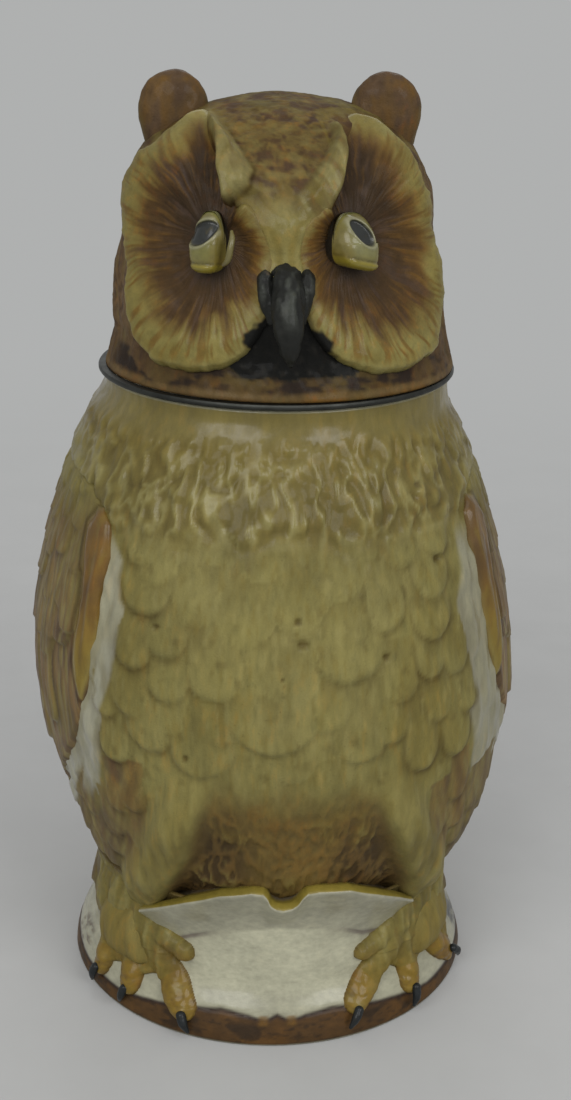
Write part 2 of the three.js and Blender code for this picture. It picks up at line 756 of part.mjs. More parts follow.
function pinCap(side) {
  const dome = Array.from({ length: curveSteps }, (_, k) => {
    const angle = (k / (curveSteps - 1)) * (Math.PI / 2);
    return [pinCapRadius * Math.cos(angle), pinCapHeight * Math.sin(angle)];
  });
  dome[dome.length - 1][0] = 0;
  const cap = turned([[0, 0], ...dome], knuckleSides).rotateY((side * Math.PI) / 2);
  return solid(cap.translate(side * (hingeWidth / 2 + seatGap), hingeY, hingeZ));
}

// A plain lobed thumbpiece that stands on the shank
function thumblift() {
  const low = rimBottom + rimRounding + shankThickness;
  const right = thumbShares.map(([across, up]) => new THREE.Vector2((thumbWidth / 2) * across, thumbHeight * up));
  const left = right.slice(0, -1).reverse().map((point) => new THREE.Vector2(-point.x, point.y));
  const outline = new THREE.Shape([...right, ...left]);
  const form = new THREE.ExtrudeGeometry(outline, { depth: thumbThickness, bevelEnabled: false, steps: 1 });
  const front = rimRadius + thumbStem;
  form.rotateX(Math.PI / 2).translate(0, front + thumbThickness, low);
  return solid(form);
}

const part = new THREE.Group();
const lid = new THREE.Group();
part.add(meshOf("owl_body", owlBody(), bisque));
part.add(meshOf("handle", handle(), brownBisque));
part.add(meshOf("handle_strap", handleStrap(), pewter));
part.add(meshOf("hinge_pin", hingePin(), steel));
part.add(meshOf("pin_cap_left", pinCap(-1), pewter));
part.add(meshOf("pin_cap_right", pinCap(1), pewter));
lid.add(meshOf("owl_head", owlHead(), brownBisque));
lid.add(meshOf("lid_rim", lidRim(), pewter));
lid.add(meshOf("plaster_bed", plasterBed(), plaster));
lid.add(meshOf("lid_shank", lidShank(), pewter));
lid.add(meshOf("thumblift", thumblift(), pewter));
part.add(lid);

export default part;
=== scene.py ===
import math
import bpy
import numpy as np
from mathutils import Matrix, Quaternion, Vector


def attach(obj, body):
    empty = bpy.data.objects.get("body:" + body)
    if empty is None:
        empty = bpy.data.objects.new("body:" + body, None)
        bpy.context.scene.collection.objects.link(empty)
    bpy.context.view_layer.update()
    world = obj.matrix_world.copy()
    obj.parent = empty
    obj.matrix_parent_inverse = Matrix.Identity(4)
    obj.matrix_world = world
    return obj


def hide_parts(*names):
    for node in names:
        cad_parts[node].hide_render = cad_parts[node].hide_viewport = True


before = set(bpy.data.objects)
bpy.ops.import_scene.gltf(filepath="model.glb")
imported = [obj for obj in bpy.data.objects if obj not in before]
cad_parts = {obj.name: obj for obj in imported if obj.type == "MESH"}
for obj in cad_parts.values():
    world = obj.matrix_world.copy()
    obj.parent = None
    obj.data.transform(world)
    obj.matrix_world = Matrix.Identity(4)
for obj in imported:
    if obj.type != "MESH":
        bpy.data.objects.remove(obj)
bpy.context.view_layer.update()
mm = 0.001  # the sizes below are millimetres
deg = math.pi / 180
weld = 0.000004  # metres; points nearer than this are merged

cameraSet = {
    "place": (-16.80, -320.59, 210.82), "yaw": 3.453, "pitch": 20.03, "roll": 1.01,
    "lens": 52.36, "sensor": 36, "near": 0.01, "far": 50,
}


def deselectAll():
    if bpy.context.object and bpy.context.object.mode != "OBJECT":
        bpy.ops.object.mode_set(mode="OBJECT")
    bpy.ops.object.select_all(action="DESELECT")


def addCamera():
    deselectAll()
    bpy.ops.object.camera_add(location=[v * mm for v in cameraSet["place"]])
    camera = bpy.context.object
    yaw, pitch = cameraSet["yaw"] * deg, cameraSet["pitch"] * deg
    ahead = Vector((math.sin(yaw) * math.cos(pitch), math.cos(yaw) * math.cos(pitch), -math.sin(pitch)))
    camera.rotation_mode = "QUATERNION"
    camera.rotation_quaternion = ahead.to_track_quat("-Z", "Y") @ Quaternion((0, 0, 1), cameraSet["roll"] * deg)
    camera.data.lens, camera.data.sensor_width = cameraSet["lens"], cameraSet["sensor"]
    camera.data.clip_start, camera.data.clip_end = cameraSet["near"], cameraSet["far"]
    bpy.context.scene.camera = camera


class Value:
    # one output socket, so that shader maths reads as an expression
    def __init__(self, finish, socket):
        self.finish = finish
        self.socket = socket

    def maths(self, operation, *inputs):
        return self.finish.node("ShaderNodeMath", {"operation": operation}, dict(enumerate(inputs)))

    def __add__(self, other):
        return self.maths("ADD", self, other)

    def __radd__(self, other):
        return self.maths("ADD", other, self)

    def __sub__(self, other):
        return self.maths("SUBTRACT", self, other)

    def __rsub__(self, other):
        return self.maths("SUBTRACT", other, self)

    def __mul__(self, other):
        return self.maths("MULTIPLY", self, other)

    def ramp(self, low, high):
        settings = {"interpolation_type": "SMOOTHSTEP"}
        return self.finish.node("ShaderNodeMapRange", settings, {0: self, 1: low, 2: high, 3: 0.0, 4: 1.0})


class Finish:
    # a material with one Principled shader, built up from nodes
    def __init__(self, name, **constants):
        self.material = bpy.data.materials.new(name)
        self.material.use_nodes = True
        self.tree = self.material.node_tree
        self.shader = self.tree.nodes["Principled BSDF"]
        for key, value in constants.items():
            self.shader.inputs[key].default_value = value

    def node(self, kind, settings=None, sockets=None, out=0):
        made = self.tree.nodes.new(kind)
        for key, value in (settings or {}).items():
            setattr(made, key, value)
        for key, value in (sockets or {}).items():
            self.plug(made.inputs[key], value)
        return Value(self, made.outputs[out])

    def plug(self, socket, value):
        if isinstance(value, Value):
            self.tree.links.new(value.socket, socket)
        elif socket.type == "RGBA" and len(value) == 3:
            socket.default_value = (*value, 1)
        else:
            socket.default_value = value

    def place(self, scale=(1, 1, 1)):
        coordinates = self.node("ShaderNodeTexCoord", out=3)
        return self.node("ShaderNodeMapping", {}, {"Vector": coordinates, "Scale": scale})

    def layer(self, name, out=0):
        return self.node("ShaderNodeAttribute", {"attribute_name": name}, out=out)

    def noise(self, vector, scale, detail=3.0, rough=0.55):
        sockets = {"Vector": vector, "Scale": scale, "Detail": detail, "Roughness": rough}
        return self.node("ShaderNodeTexNoise", {}, sockets)

    def blend(self, factor, below, above, how="MIX"):
        settings = {"data_type": "RGBA", "blend_type": how}
        return self.node("ShaderNodeMix", settings, {0: factor, 6: below, 7: above}, 2)

    def tinted(self, mask, colour, tint):
        return self.blend(mask, colour, self.blend(1.0, colour, tint, "MULTIPLY"))

    def finished(self, **inputs):
        names = {"colour": "Base Color", "roughness": "Roughness", "metallic": "Metallic", "coat": "Coat Weight"}
        for key, value in inputs.items():
            if key == "height":
                value, strength, distance = value
                bump = {"Height": value, "Strength": strength, "Distance": distance}
                self.plug(self.shader.inputs["Normal"], self.node("ShaderNodeBump", {}, bump))
            else:
                self.plug(self.shader.inputs[names[key]], value)
        return self.material


def paintedFinish(name, stroke, tints, grain=0.5, shine=0.16):
    # painted bisque: the colour, the glaze and the painted shade in creases come from the piece's own layers
    made = Finish(name, **{"Coat Roughness": 0.16, "Coat IOR": 1.42, "Specular IOR Level": shine})
    paint, gloss, creaseShade = made.layer("paint"), made.layer("gloss", 2), made.layer("creaseShade", 2)
    strokes = made.noise(made.place(stroke), 620.0, 4.0, 0.6)
    broad = made.noise(made.place(stroke), 130.0, 3.0, 0.5)
    speck = made.noise(made.place(), 2600.0, 2.0, 0.5)
    wash = made.noise(made.place(), 55.0, 2.0, 0.5)
    shade = 0.40 + strokes * 0.66 + broad * 0.56
    colour = made.blend(1.0, paint, shade, "MULTIPLY")
    warm = strokes.ramp(0.50, 0.70) * wash.ramp(0.4, 0.65) * (1.0 - gloss * 0.6) * 0.5
    colour = made.tinted(warm, colour, tints[0])
    cool = (1.0 - strokes).ramp(0.52, 0.7) * broad.ramp(0.45, 0.7) * (1.0 - gloss * 0.6) * 0.5
    colour = made.tinted(cool, colour, tints[1])
    pits = speck.ramp(0.66, 0.74) * wash.ramp(0.35, 0.65) * (1.0 - gloss * 0.7) * 0.45
    colour = made.tinted(pits, colour, (0.32, 0.28, 0.24))
    # painted shade: the creaseShade layer darkens creases, grooves and the edges where one part lies over another
    colour = made.tinted(creaseShade * 0.9, colour, (0.34, 0.26, 0.15))
    rough = 0.64 - gloss * 0.30 + (strokes - 0.5) * 0.16
    height = (strokes * 0.6 + speck * 0.4) * (1.0 - gloss * 0.6) + broad * 0.7
    return made.finished(colour=colour, roughness=rough, coat=gloss * 0.8, height=(height, grain, 0.0004))


def metalFinish(name, tone, rough, wear):
    made = Finish(name, **{"Metallic": 1.0})
    cloud = made.noise(made.place(), 190.0, 5.0, 0.6)
    fine = made.noise(made.place((1, 1, 6)), 900.0, 3.0, 0.6)
    dark = [c * 0.45 for c in tone]
    colour = made.blend(cloud.ramp(0.35, 0.7) * wear, tone, dark)
    spots = made.noise(made.place(), 1500.0, 2.0, 0.5).ramp(0.62, 0.72)
    colour = made.blend(spots * 0.35, colour, [c * 0.3 for c in tone])
    return made.finished(colour=colour, roughness=rough + cloud * 0.22, height=(fine * 0.5 + cloud, 0.25, 0.00025))


def plasterFinish():
    made = Finish("bedding plaster", **{"Specular IOR Level": 0.2})
    cloud = made.noise(made.place(), 400.0, 5.0, 0.65)
    colour = made.blend(cloud.ramp(0.3, 0.75), (0.62, 0.58, 0.48), (0.42, 0.38, 0.30))
    return made.finished(colour=colour, roughness=0.8 + cloud * 0.15, height=(cloud, 0.5, 0.0004))


def floorFinish():
    made = Finish("pale studio floor", **{"Specular IOR Level": 0.15})
    grain = made.noise(made.place(), 35.0, 4.0, 0.6)
    colour = made.blend(grain.ramp(0.3, 0.7), stageSet["tone"], [c * 0.965 for c in stageSet["tone"]])
    made.finished(colour=colour, roughness=0.8 + grain * 0.1)
    # far from the piece the camera sees the floor at one even tone, as on a paper sweep
    place = made.node("ShaderNodeTexCoord", out=3)
    away = made.node("ShaderNodeVectorMath", {"operation": "LENGTH"}, {0: place}, 1)
    seen = made.node("ShaderNodeLightPath", out="Is Camera Ray")
    for kind in ("Is Glossy Ray", "Is Transmission Ray"):
        seen = seen + made.node("ShaderNodeLightPath", out=kind)
    even = made.node("ShaderNodeEmission", {}, {"Color": stageSet["seen"], "Strength": 1.0})
    factor = away.ramp(0.12, 0.60) * seen
    shown = made.node("ShaderNodeMixShader", {}, {0: factor, 2: even})
    made.tree.links.new(made.shader.outputs[0], shown.socket.node.inputs[1])
    made.tree.links.new(shown.socket, made.tree.nodes["Material Output"].inputs[0])
    return made.material


stageSet = {
    "tone": (0.50, 0.505, 0.50), "seen": (0.43, 0.437, 0.434), "world": 0.45, "size": 8.0,
    "lamps": [  # place, aimed height, size, watts
        ((-0.40, -0.78, 0.66), 0.09, (0.8, 0.6), 4.1),
        ((0.52, -0.70, 0.58), 0.09, (0.6, 0.5), 2.9),
        ((0.02, -0.40, 1.15), 0.08, (0.9, 0.5), 1.2),
        ((0.1, 0.9, 0.9), 0.12, (0.9, 0.5), 2.2),
    ],
}


def addStage():
    deselectAll()
    bpy.ops.mesh.primitive_plane_add(size=stageSet["size"], location=(0, 0, 0))
    floor = bpy.context.object
    floor.name = "floor"
    floor.data.materials.append(floorFinish())
    for k, (place, aim, (width, depth), power) in enumerate(stageSet["lamps"]):
        bpy.ops.object.light_add(type="AREA", location=place)
        lamp = bpy.context.object
        lamp.name = f"softLamp{k}"
        lamp.data.shape = "ELLIPSE"
        lamp.data.size, lamp.data.size_y = width, depth
        lamp.data.energy = power
        lamp.rotation_mode = "QUATERNION"
        lamp.rotation_quaternion = (Vector((0, 0, aim)) - Vector(place)).to_track_quat("-Z", "Y")
    world = bpy.context.scene.world or bpy.data.worlds.new("studio")
    bpy.context.scene.world = world
    world.use_nodes = True
    tree = world.node_tree
    tree.nodes.clear()
    kinds = {
        "soft": "Background", "plain": "Background", "mixed": "MixShader", "path": "LightPath", "both": "Math",
        "seen": "Math", "out": "OutputWorld",
    }
    made = {key: tree.nodes.new("ShaderNode" + kind) for key, kind in kinds.items()}
    made["soft"].inputs[0].default_value = (1, 1, 1, 1)
    made["soft"].inputs[1].default_value = stageSet["world"]
    made["plain"].inputs[0].default_value = (*stageSet["seen"], 1)
    made["both"].use_clamp = made["seen"].use_clamp = True
    for source, output, target, socket in (
        ("path", "Is Camera Ray", "both", 0), ("path", "Is Glossy Ray", "both", 1), ("both", 0, "seen", 0),
        ("path", "Is Transmission Ray", "seen", 1), ("seen", 0, "mixed", 0), ("soft", 0, "mixed", 1),
        ("plain", 0, "mixed", 2), ("mixed", 0, "out", 0),
    ):
        tree.links.new(made[source].outputs[output], made[target].inputs[socket])
    bpy.context.scene.view_settings.view_transform = "Standard"


glaze = {
    "khaki": (0.185, 0.160, 0.048), "khakiLight": (0.245, 0.215, 0.078), "khakiShade": (0.120, 0.095, 0.027),
    "ochre": (0.158, 0.120, 0.026), "gilt": (0.180, 0.125, 0.020), "mustard": (0.190, 0.120, 0.014),
    "brown": (0.076, 0.043, 0.017), "darkBrown": (0.029, 0.017, 0.008), "orange": (0.150, 0.076, 0.013),
    "rose": (0.150, 0.095, 0.038), "purple": (0.070, 0.046, 0.034), "leaf": (0.162, 0.132, 0.034),
    "white": (0.420, 0.410, 0.295), "bareAndShadedWhite": (0.265, 0.256, 0.185), "black": (0.011, 0.011, 0.009),
    "slate": (0.013, 0.016, 0.017), "leather": (0.066, 0.034, 0.011), "soot": (0.0085, 0.0085, 0.0075),
}


def smooth(low, high, x):
    t = np.clip((x - low) / (high - low), 0, 1)
    return t * t * (3 - 2 * t)


def between(low, high, soft, x):
    return smooth(low - soft, low + soft, x) * (1 - smooth(high - soft, high + soft, x))


def curveThrough(points, steps=16):
    pts = np.array(points, float)
    padded = np.vstack([2 * pts[0] - pts[1], pts, 2 * pts[-1] - pts[-2]])
    t = np.linspace(0, 1, steps, endpoint=False)[:, None]
    runs = []
    for k in range(len(pts) - 1):
        a, b, c, d = padded[k:k + 4]
        bend = (2 * a - 5 * b + 4 * c - d) * t ** 2 + (3 * b - a - 3 * c + d) * t ** 3
        runs.append((2 * b + (c - a) * t + bend) / 2)
    return np.vstack([*runs, pts[-1:]])


def hashed(cell, seed):
    mixed = cell[..., 0] * 127.1 + cell[..., 1] * 311.7 + cell[..., 2] * 74.7 + seed * 53.3
    return np.modf(np.abs(np.sin(mixed) * 43758.5453))[0]


def cloud(points, size, seed, octaves=3):
    # soft random lumps from -1 to 1, of about that size
    total, weight = 0.0, 0.0
    for octave in range(octaves):
        q = points / size * 2 ** octave + 13.7 * octave
        cell = np.floor(q)
        f = q - cell
        f = f * f * (3 - 2 * f)
        part = 0.0
        for corner in np.ndindex(2, 2, 2):
            share = np.prod([f[:, a] if corner[a] else 1 - f[:, a] for a in range(3)], axis=0)
            part = part + share * hashed(cell + corner, seed + octave)
        total = total + (part * 2 - 1) * 0.5 ** octave
        weight += 0.5 ** octave
    return total / weight


# what a feather belongs to
kinds = {
    "breast": 0, "ruff": 1, "shoulder": 2, "flank": 3, "fringe": 4, "back": 5, "wing": 6, "covert": 7,
}


def featherCoat(angle, height, reach, feathers, soft):
    # overlapping feathers, each (angle and height of its tip, half width, length, lean, rise, kind)
    count = len(angle)
    coat = {key: np.zeros(count) for key in ("rise", "creaseShade", "across", "along")}
    coat["edge"] = np.full(count, 9.0)
    coat["number"] = np.full(count, -1)
    local = []
    for number, (tipAngle, tipHeight, half, length, lean, rise, _) in enumerate(feathers):
        turn = (angle - tipAngle + 180) % 360 - 180
        x, y = turn * deg * reach, height - tipHeight
        near = np.flatnonzero((np.abs(x) < half + length * 0.6 + 2) & (y > -2.5) & (y < length + 2))
        x, y = x[near], y[near]
        c, s = math.cos(lean * deg), math.sin(lean * deg)
        along, across = y * c + x * s, x * c - y * s
        nose = half * 0.95
        width = half * (1 - 0.3 * np.clip((along - nose) / length, 0, 1) ** 2)
        tip = (np.hypot(across / half, (nose - along) / nose) - 1) * min(half, nose)
        outside = np.where(along < nose, tip, np.abs(across) - width)
        fall = np.clip(1 - along / length, 0, 1)
        level = rise * fall * (1 - 0.35 * np.clip(across / half, -1, 1) ** 2)
        shown = (outside < 0) & (along < length)
        lifted = np.where(shown, level * smooth(0, soft, -outside), 0)
        local.append((near, outside, level))
        better = shown & (lifted > coat["rise"][near])
        kept = near[better]
        coat["rise"][kept] = lifted[better]
        coat["edge"][kept] = -outside[better]
        coat["across"][kept] = across[better] / half
        coat["along"][kept] = along[better]
        coat["number"][kept] = number
    # painted shade: a dark line just outside each feather's edge, where it lies over a lower feather
    for near, outside, level in local:
        above = np.clip((level - coat["rise"][near]) / 0.5, 0, 1)
        line = np.exp(-np.maximum(outside, 0) / 0.8) * smooth(-0.9, 0.3, outside) * above
        coat["creaseShade"][near] = np.maximum(coat["creaseShade"][near], line)
    coat["kind"] = np.array([feather[-1] for feather in feathers] + [kinds["breast"]])[coat["number"]]
    coat["any"] = coat["number"] >= 0
    return coat


def ownShare(coat, seed):
    # one random share for each feather
    return hashed(np.stack([coat["number"]] * 3, -1).astype(float), seed)


def painted(count, ground, coats):
    # a ground and coats over it, each with its colour or the glaze's name, and where it lies from 0 to 1
    paint = np.tile(np.array(glaze[ground] if isinstance(ground, str) else ground), (count, 1))
    for colour, mask in coats:
        over = np.array(glaze[colour] if isinstance(colour, str) else colour, float)
        paint = paint + (over - paint) * np.clip(mask, 0, 1)[:, None]
    return paint


def layered(paint, gloss, creaseShade=0.0):
    return {"paint": paint, "gloss": gloss, "creaseShade": np.clip(creaseShade, 0, 1)}


def drawn(points, share):
    # places for a pattern that is drawn out up and down
    return points * np.array([1, 1, share])


def insideOf(x, y, outline):
    # distance to a closed outline, above zero inside it
    corners = np.array(outline, float)
    nearest, within = np.full(len(x), 1e9), np.zeros(len(x), bool)
    for (ax, ay), (bx, by) in zip(corners, np.roll(corners, -1, axis=0)):
        dx, dy = bx - ax, by - ay
        share = np.clip(((x - ax) * dx + (y - ay) * dy) / (dx * dx + dy * dy), 0, 1)
        nearest = np.minimum(nearest, np.hypot(x - ax - share * dx, y - ay - share * dy))
        spans = (ay > y) != (by > y)
        within ^= spans & (x < ax + (y - ay) * dx / (dy or 1))
    return np.where(within, nearest, -nearest)


def flecks(across, along, wide, high, seed):
    # rows of soft overlapping crescents, each of its own strength
    row = np.floor(along / high)
    cell = across / wide + 0.5 * (row % 2) + 0.3 * hashed(np.stack([row, row, row], -1), seed)
    column = np.floor(cell)
    own = np.stack([row, column, row * 0], -1)
    u, v = cell - column - 0.5, along / high - row - 0.4 - 0.25 * hashed(own, seed + 1)
    crescent = 1 - smooth(0.35, 1.05, np.hypot(u / 0.5, (v + u * u * 0.9) / 0.42))
    return crescent * smooth(0.05, 0.6, hashed(own, seed + 2))


def strands(points, size, seed, stretch, swirl):
    # fine swirling ridges, 0 in the gaps and 1 on the crests
    bent = points + np.stack([cloud(points, 5.5, seed + a, 1) for a in range(3)], -1) * swirl
    return 1 - np.clip(np.abs(cloud(drawn(bent, stretch), size, seed + 5, 2)) * 2.6, 0, 1)


# the owl sways a little as it rises: height, sideways
swayCurve = curveThrough([
    (0, 0.0), (14, 0.0), (20, -0.2), (28, 0.3), (36, 1.2), (44, 1.6), (52, 1.1), (60, 0.9), (67, 0.6), (76, 0.0),
    (86, -0.35), (104, -0.6), (120, -0.7), (127, -0.8), (131.5, 0.0), (134, 0.0), (135.5, 0.6), (143, 0.6),
    (152, 0.0), (200, 0.0),
])


def added(name, operator, **settings):
    deselectAll()
    operator(**settings)
    piece = bpy.context.object
    piece.name = piece.data.name = name
    return piece


def openMesh():
    bpy.ops.object.mode_set(mode="EDIT")
    bpy.ops.mesh.select_all(action="SELECT")


def closeMesh():
    # the edges that meet are merged, and the faces turned outwards
    bpy.ops.mesh.select_all(action="SELECT")
    bpy.ops.mesh.remove_doubles(threshold=weld)
    bpy.ops.mesh.normals_make_consistent(inside=False)
    bpy.ops.object.mode_set(mode="OBJECT")


def gridPiece(name, columns, rows, place, body, slot, material, nodes=()):
    # a grid is added, its points are moved to where place says, and the edges that then meet are merged
    piece = added(name, bpy.ops.mesh.primitive_grid_add, x_subdivisions=columns, y_subdivisions=rows, size=2)
    flat = np.empty(len(piece.data.vertices) * 3)
    piece.data.vertices.foreach_get("co", flat)
    flat = flat.reshape(-1, 3)
    i = np.rint((flat[:, 0] + 1) / 2 * columns).astype(int)
    j = np.rint((flat[:, 1] + 1) / 2 * rows).astype(int)
    points, layers = place(i, j)
    if slot in ("breast_bisque", "head_bisque"):
        points[:, 0] += np.interp(points[:, 2], swayCurve[:, 0], swayCurve[:, 1])
    piece.data.vertices.foreach_set("co", (points * mm).ravel())
    addLayers(piece, layers)
    openMesh()
    closeMesh()
    return dressed(piece, body, material, nodes)


def addLayers(piece, layers):
    mesh = piece.data
    count = len(mesh.vertices)
    for key, values in layers.items():
        if key == "paint":
            layer = mesh.attributes.new("paint", "FLOAT_COLOR", "POINT")
            colours = np.ones((count, 4))
            colours[:, :3] = np.clip(values, 0.004, 1)
            layer.data.foreach_set("color", colours.ravel())
        else:
            layer = mesh.attributes.new(key, "FLOAT", "POINT")
            layer.data.foreach_set("value", np.broadcast_to(values, count).astype(float))


def dressed(piece, body, material, nodes=()):
    deselectAll()
    bpy.context.view_layer.objects.active = piece
    piece.select_set(True)
    bpy.ops.object.shade_smooth()
    piece.data.materials.clear()
    piece.data.materials.append(material)
    if nodes:
        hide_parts(*nodes)
    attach(piece, body)
    return piece


def facing(angle, radius, height):
    # places round the stein: angle from the owl's front, towards +X
    a = np.asarray(angle) * deg
    return np.stack([radius * np.sin(a), -radius * np.cos(a), height + 0 * a], -1)


def denserInFront(i, columns, bias):
    # the angles of a closed piece's columns, which stand closer together at the front
    turn = (i / columns * 2 - 1) * math.pi
    return (turn - bias * np.sin(turn)) / deg


def outlineRows(points, rows):
    # evenly spaced points along an outline of (height, radius), with the direction that faces out
    line = curveThrough(points)
    run = np.concatenate([[0], np.cumsum(np.hypot(*np.diff(line, axis=0).T))])
    where = np.linspace(0, run[-1], rows)
    height, radius = np.interp(where, run, line[:, 0]), np.interp(where, run, line[:, 1])
    dz, dr = np.gradient(height), np.gradient(radius)
    size = np.maximum(np.hypot(dz, dr), 1e-9)
    return height, radius, dz / size, -dr / size


def shell(before, outline, after):
    # a closed profile: bare points of (radius, height), the outline with the way it faces, and bare points again
    height, radius, outR, outZ = outline
    bareR, bareZ = ([[point[k] for point in part] for part in (before, after)] for k in (0, 1))
    none = [np.zeros(len(part)) for part in (before, after)]
    return (np.concatenate([bareR[0], radius, bareR[1]]), np.concatenate([bareZ[0], height, bareZ[1]]),
            np.concatenate([none[0], outR, none[1]]), np.concatenate([none[0], outZ, none[1]]))


bodyLine = [
    (10.5, 38.2), (14, 39.7), (18.5, 39), (25, 36.7), (33.93, 42.63), (45.2, 46.17), (57.9, 49.14), (72, 50.2),
    (86.2, 49.04), (97.9, 46.74), (107.8, 44.24), (115.8, 41.7), (123.8, 38.0), (130.6, 35.3), (133.2, 35.0),
]
headLine = [
    (135.35, 35.3), (136.2, 35.2), (142, 33.5), (148, 33.2), (155, 32.4), (162, 31), (170, 30), (178, 26.3),
    (184, 18.5), (187, 9.3), (188, 0.0),
]
bodyCurve = curveThrough(bodyLine)
headCurve = curveThrough(headLine)


def bodyRadius(height):
    return np.interp(height, bodyCurve[:, 0], bodyCurve[:, 1])


# edges that the zones share, as heights and angles: where the breast ends, the wings, the legs' two edges
breastLeft = (
    [40, 46, 53, 62, 68, 81, 87, 94, 97, 104, 112, 120, 127],
    [59, 56, 51, 47.5, 46, 40, 39, 38, 41, 42, 50, 64, 80],
)
breastRight = (
    [40, 52, 58, 63, 74, 87, 95, 100, 108, 114, 120, 127],
    [54, 52.5, 52, 52, 48, 47.5, 48, 51, 51.5, 58, 68, 82],
)
wingLeft = (
    [31, 35, 40, 49, 56, 64, 68, 77, 88, 96, 104, 110, 115, 119],
    [105, 90, 80, 71, 63, 55, 52, 48.4, 46.4, 46.5, 45, 47, 56, 95],
)
wingRight = (
    [31, 36, 47, 57, 64, 71, 79, 93, 104, 110, 115, 119],
    [105, 95, 88, 79, 71, 64.5, 60.4, 57.5, 57, 58, 65, 95],
)
wingBack = (
    [31, 40, 49.5, 60, 71, 81.6, 92, 101.6, 109.6, 115, 119],
    [105, 126, 138, 146, 150, 152, 152, 148, 138, 122, 95],
)
legLeft = (
    [10, 20, 30, 44, 54, 62, 70],
    [36, 42, 34, 24, 20, 17.5, 15],
    [72, 68, 54, 41, 33, 28.5, 24],
)
legRight = (
    [10, 20, 30, 44, 54, 62, 70],
    [38, 46, 38, 27, 22.5, 20, 18],
    [74, 72, 58, 43, 35, 31, 27],
)


def bySide(angle, height, left, right):
    return np.where(angle < 0, np.interp(height, *left), np.interp(height, *right))


vesselSet = {
    "columns": 440, "outsideRows": 196, "frontBias": 0.5, "wall": 5.0, "legRise": 3.4, "bellyDip": 2.4,
    "breastTips": [  # angle, height, half width, length, lean, rise
        (-30.9, 100.9, 3.8, 13, 8, 0.75), (-35.1, 95.0, 6.2, 15, 10, 1.0), (24.8, 92.8, 4.6, 16, 0, 0.75),
        (40.2, 96.6, 5.0, 13, -6, 1.0), (38.7, 89.0, 5.2, 13, -6, 0.95), (-27.8, 87.6, 4.6, 13, 6, 0.9),
        (-36.4, 84.0, 4.4, 12, 8, 1.0), (-26.8, 79.2, 4.6, 12, 4, 0.85), (-15.2, 80.3, 5.8, 18, 0, 0.85),
        (0.1, 79.1, 7.6, 17, 0, 0.55), (14.9, 84.0, 8.2, 20, 0, 0.85), (-2.7, 70.1, 9.2, 20, 0, 1.1),
        (16.6, 67.0, 6.0, 16, 0, 0.9), (-19.6, 64.0, 6.6, 19, 4, 0.95), (-32.0, 67.8, 5.4, 14, 6, 1.0),
        (-42.3, 63.1, 4.2, 12, 8, 1.0), (32.6, 62.9, 4.4, 21, -2, 0.9), (44.0, 62.9, 4.4, 19, -4, 1.1),
        (44.9, 80.6, 4.2, 11, -6, 0.9), (36.5, 81.5, 3.8, 12, -4, 0.75), (27.5, 78.5, 4.2, 13, -2, 0.6),
        (10.4, 74.6, 5.2, 14, -10, 0.7), (-36.5, 74.5, 5.0, 12, 6, 0.9), (37.5, 72.5, 4.4, 14, -2, 0.7),
        (24.0, 70.5, 4.6, 15, -2, 0.6), (-9.0, 91.0, 6.2, 17, 0, 0.35), (4.0, 94.0, 7.0, 18, 0, 0.35),
        (-20.5, 94.5, 5.4, 17, 2, 0.4), (13.5, 99.0, 5.6, 16, 0, 0.3), (31.5, 104.0, 4.6, 12, -4, 0.6),
        (-5.0, 103.0, 5.6, 16, 0, 0.25), (-16.0, 105.5, 5.0, 14, 4, 0.3), (43.5, 104.5, 4.2, 10, -6, 0.85),
        (-38.0, 104.0, 4.0, 9, 12, 0.9), (-26.0, 108.5, 4.2, 10, 4, 0.5), (21.0, 107.0, 4.8, 12, 0, 0.4),
        (-44.5, 72.5, 3.6, 10, 8, 0.8), (47.5, 71.5, 3.6, 12, -4, 0.9), (7.0, 55.5, 6.0, 13, -6, 0.6),
        (-7.5, 58.5, 5.4, 12, 4, 0.4), (1.0, 64.0, 5.0, 12, 0, 0.35), (-26.0, 72.5, 4.0, 11, 4, 0.6),
    ],
    "fringeTips": [  # angle, height
        (47, 51), (41, 46), (50, 43), (-44, 50), (-39, 52), (-49, 42), (44, 38), (-43, 36),
    ],
    "ruffRows": (110.0, 126, 3.1), "coatRows": (13, 132, 6.2),
    "pits": [  # angle, height, size
        (4.4, 92.4, 1.5), (3.3, 96.6, 1.1), (39.9, 118.3, 1.3), (42.2, 104.2, 1.6), (24.1, 88.3, 1.2),
        (-0.2, 85.9, 0.6), (0.1, 84.3, 0.5), (-0.1, 82.9, 0.5), (-29.5, 93.6, 1.2), (-22.5, 68.5, 1.0),
    ],
    # the wall inside, as radius and height: down from the mouth, then the floor; and the underside
    "mouth": [(34.9, 133.7), (31.8, 133.7), (31.3, 133.2), (31.3, 127.3)], "cavity": (124, 16, 13),
    "inner": [(32.0, 11.5), (29.0, 9.6), (0.0, 9.6)], "under": [(0.0, 8.4), (34.0, 8.4), (37.2, 9.2)],
}


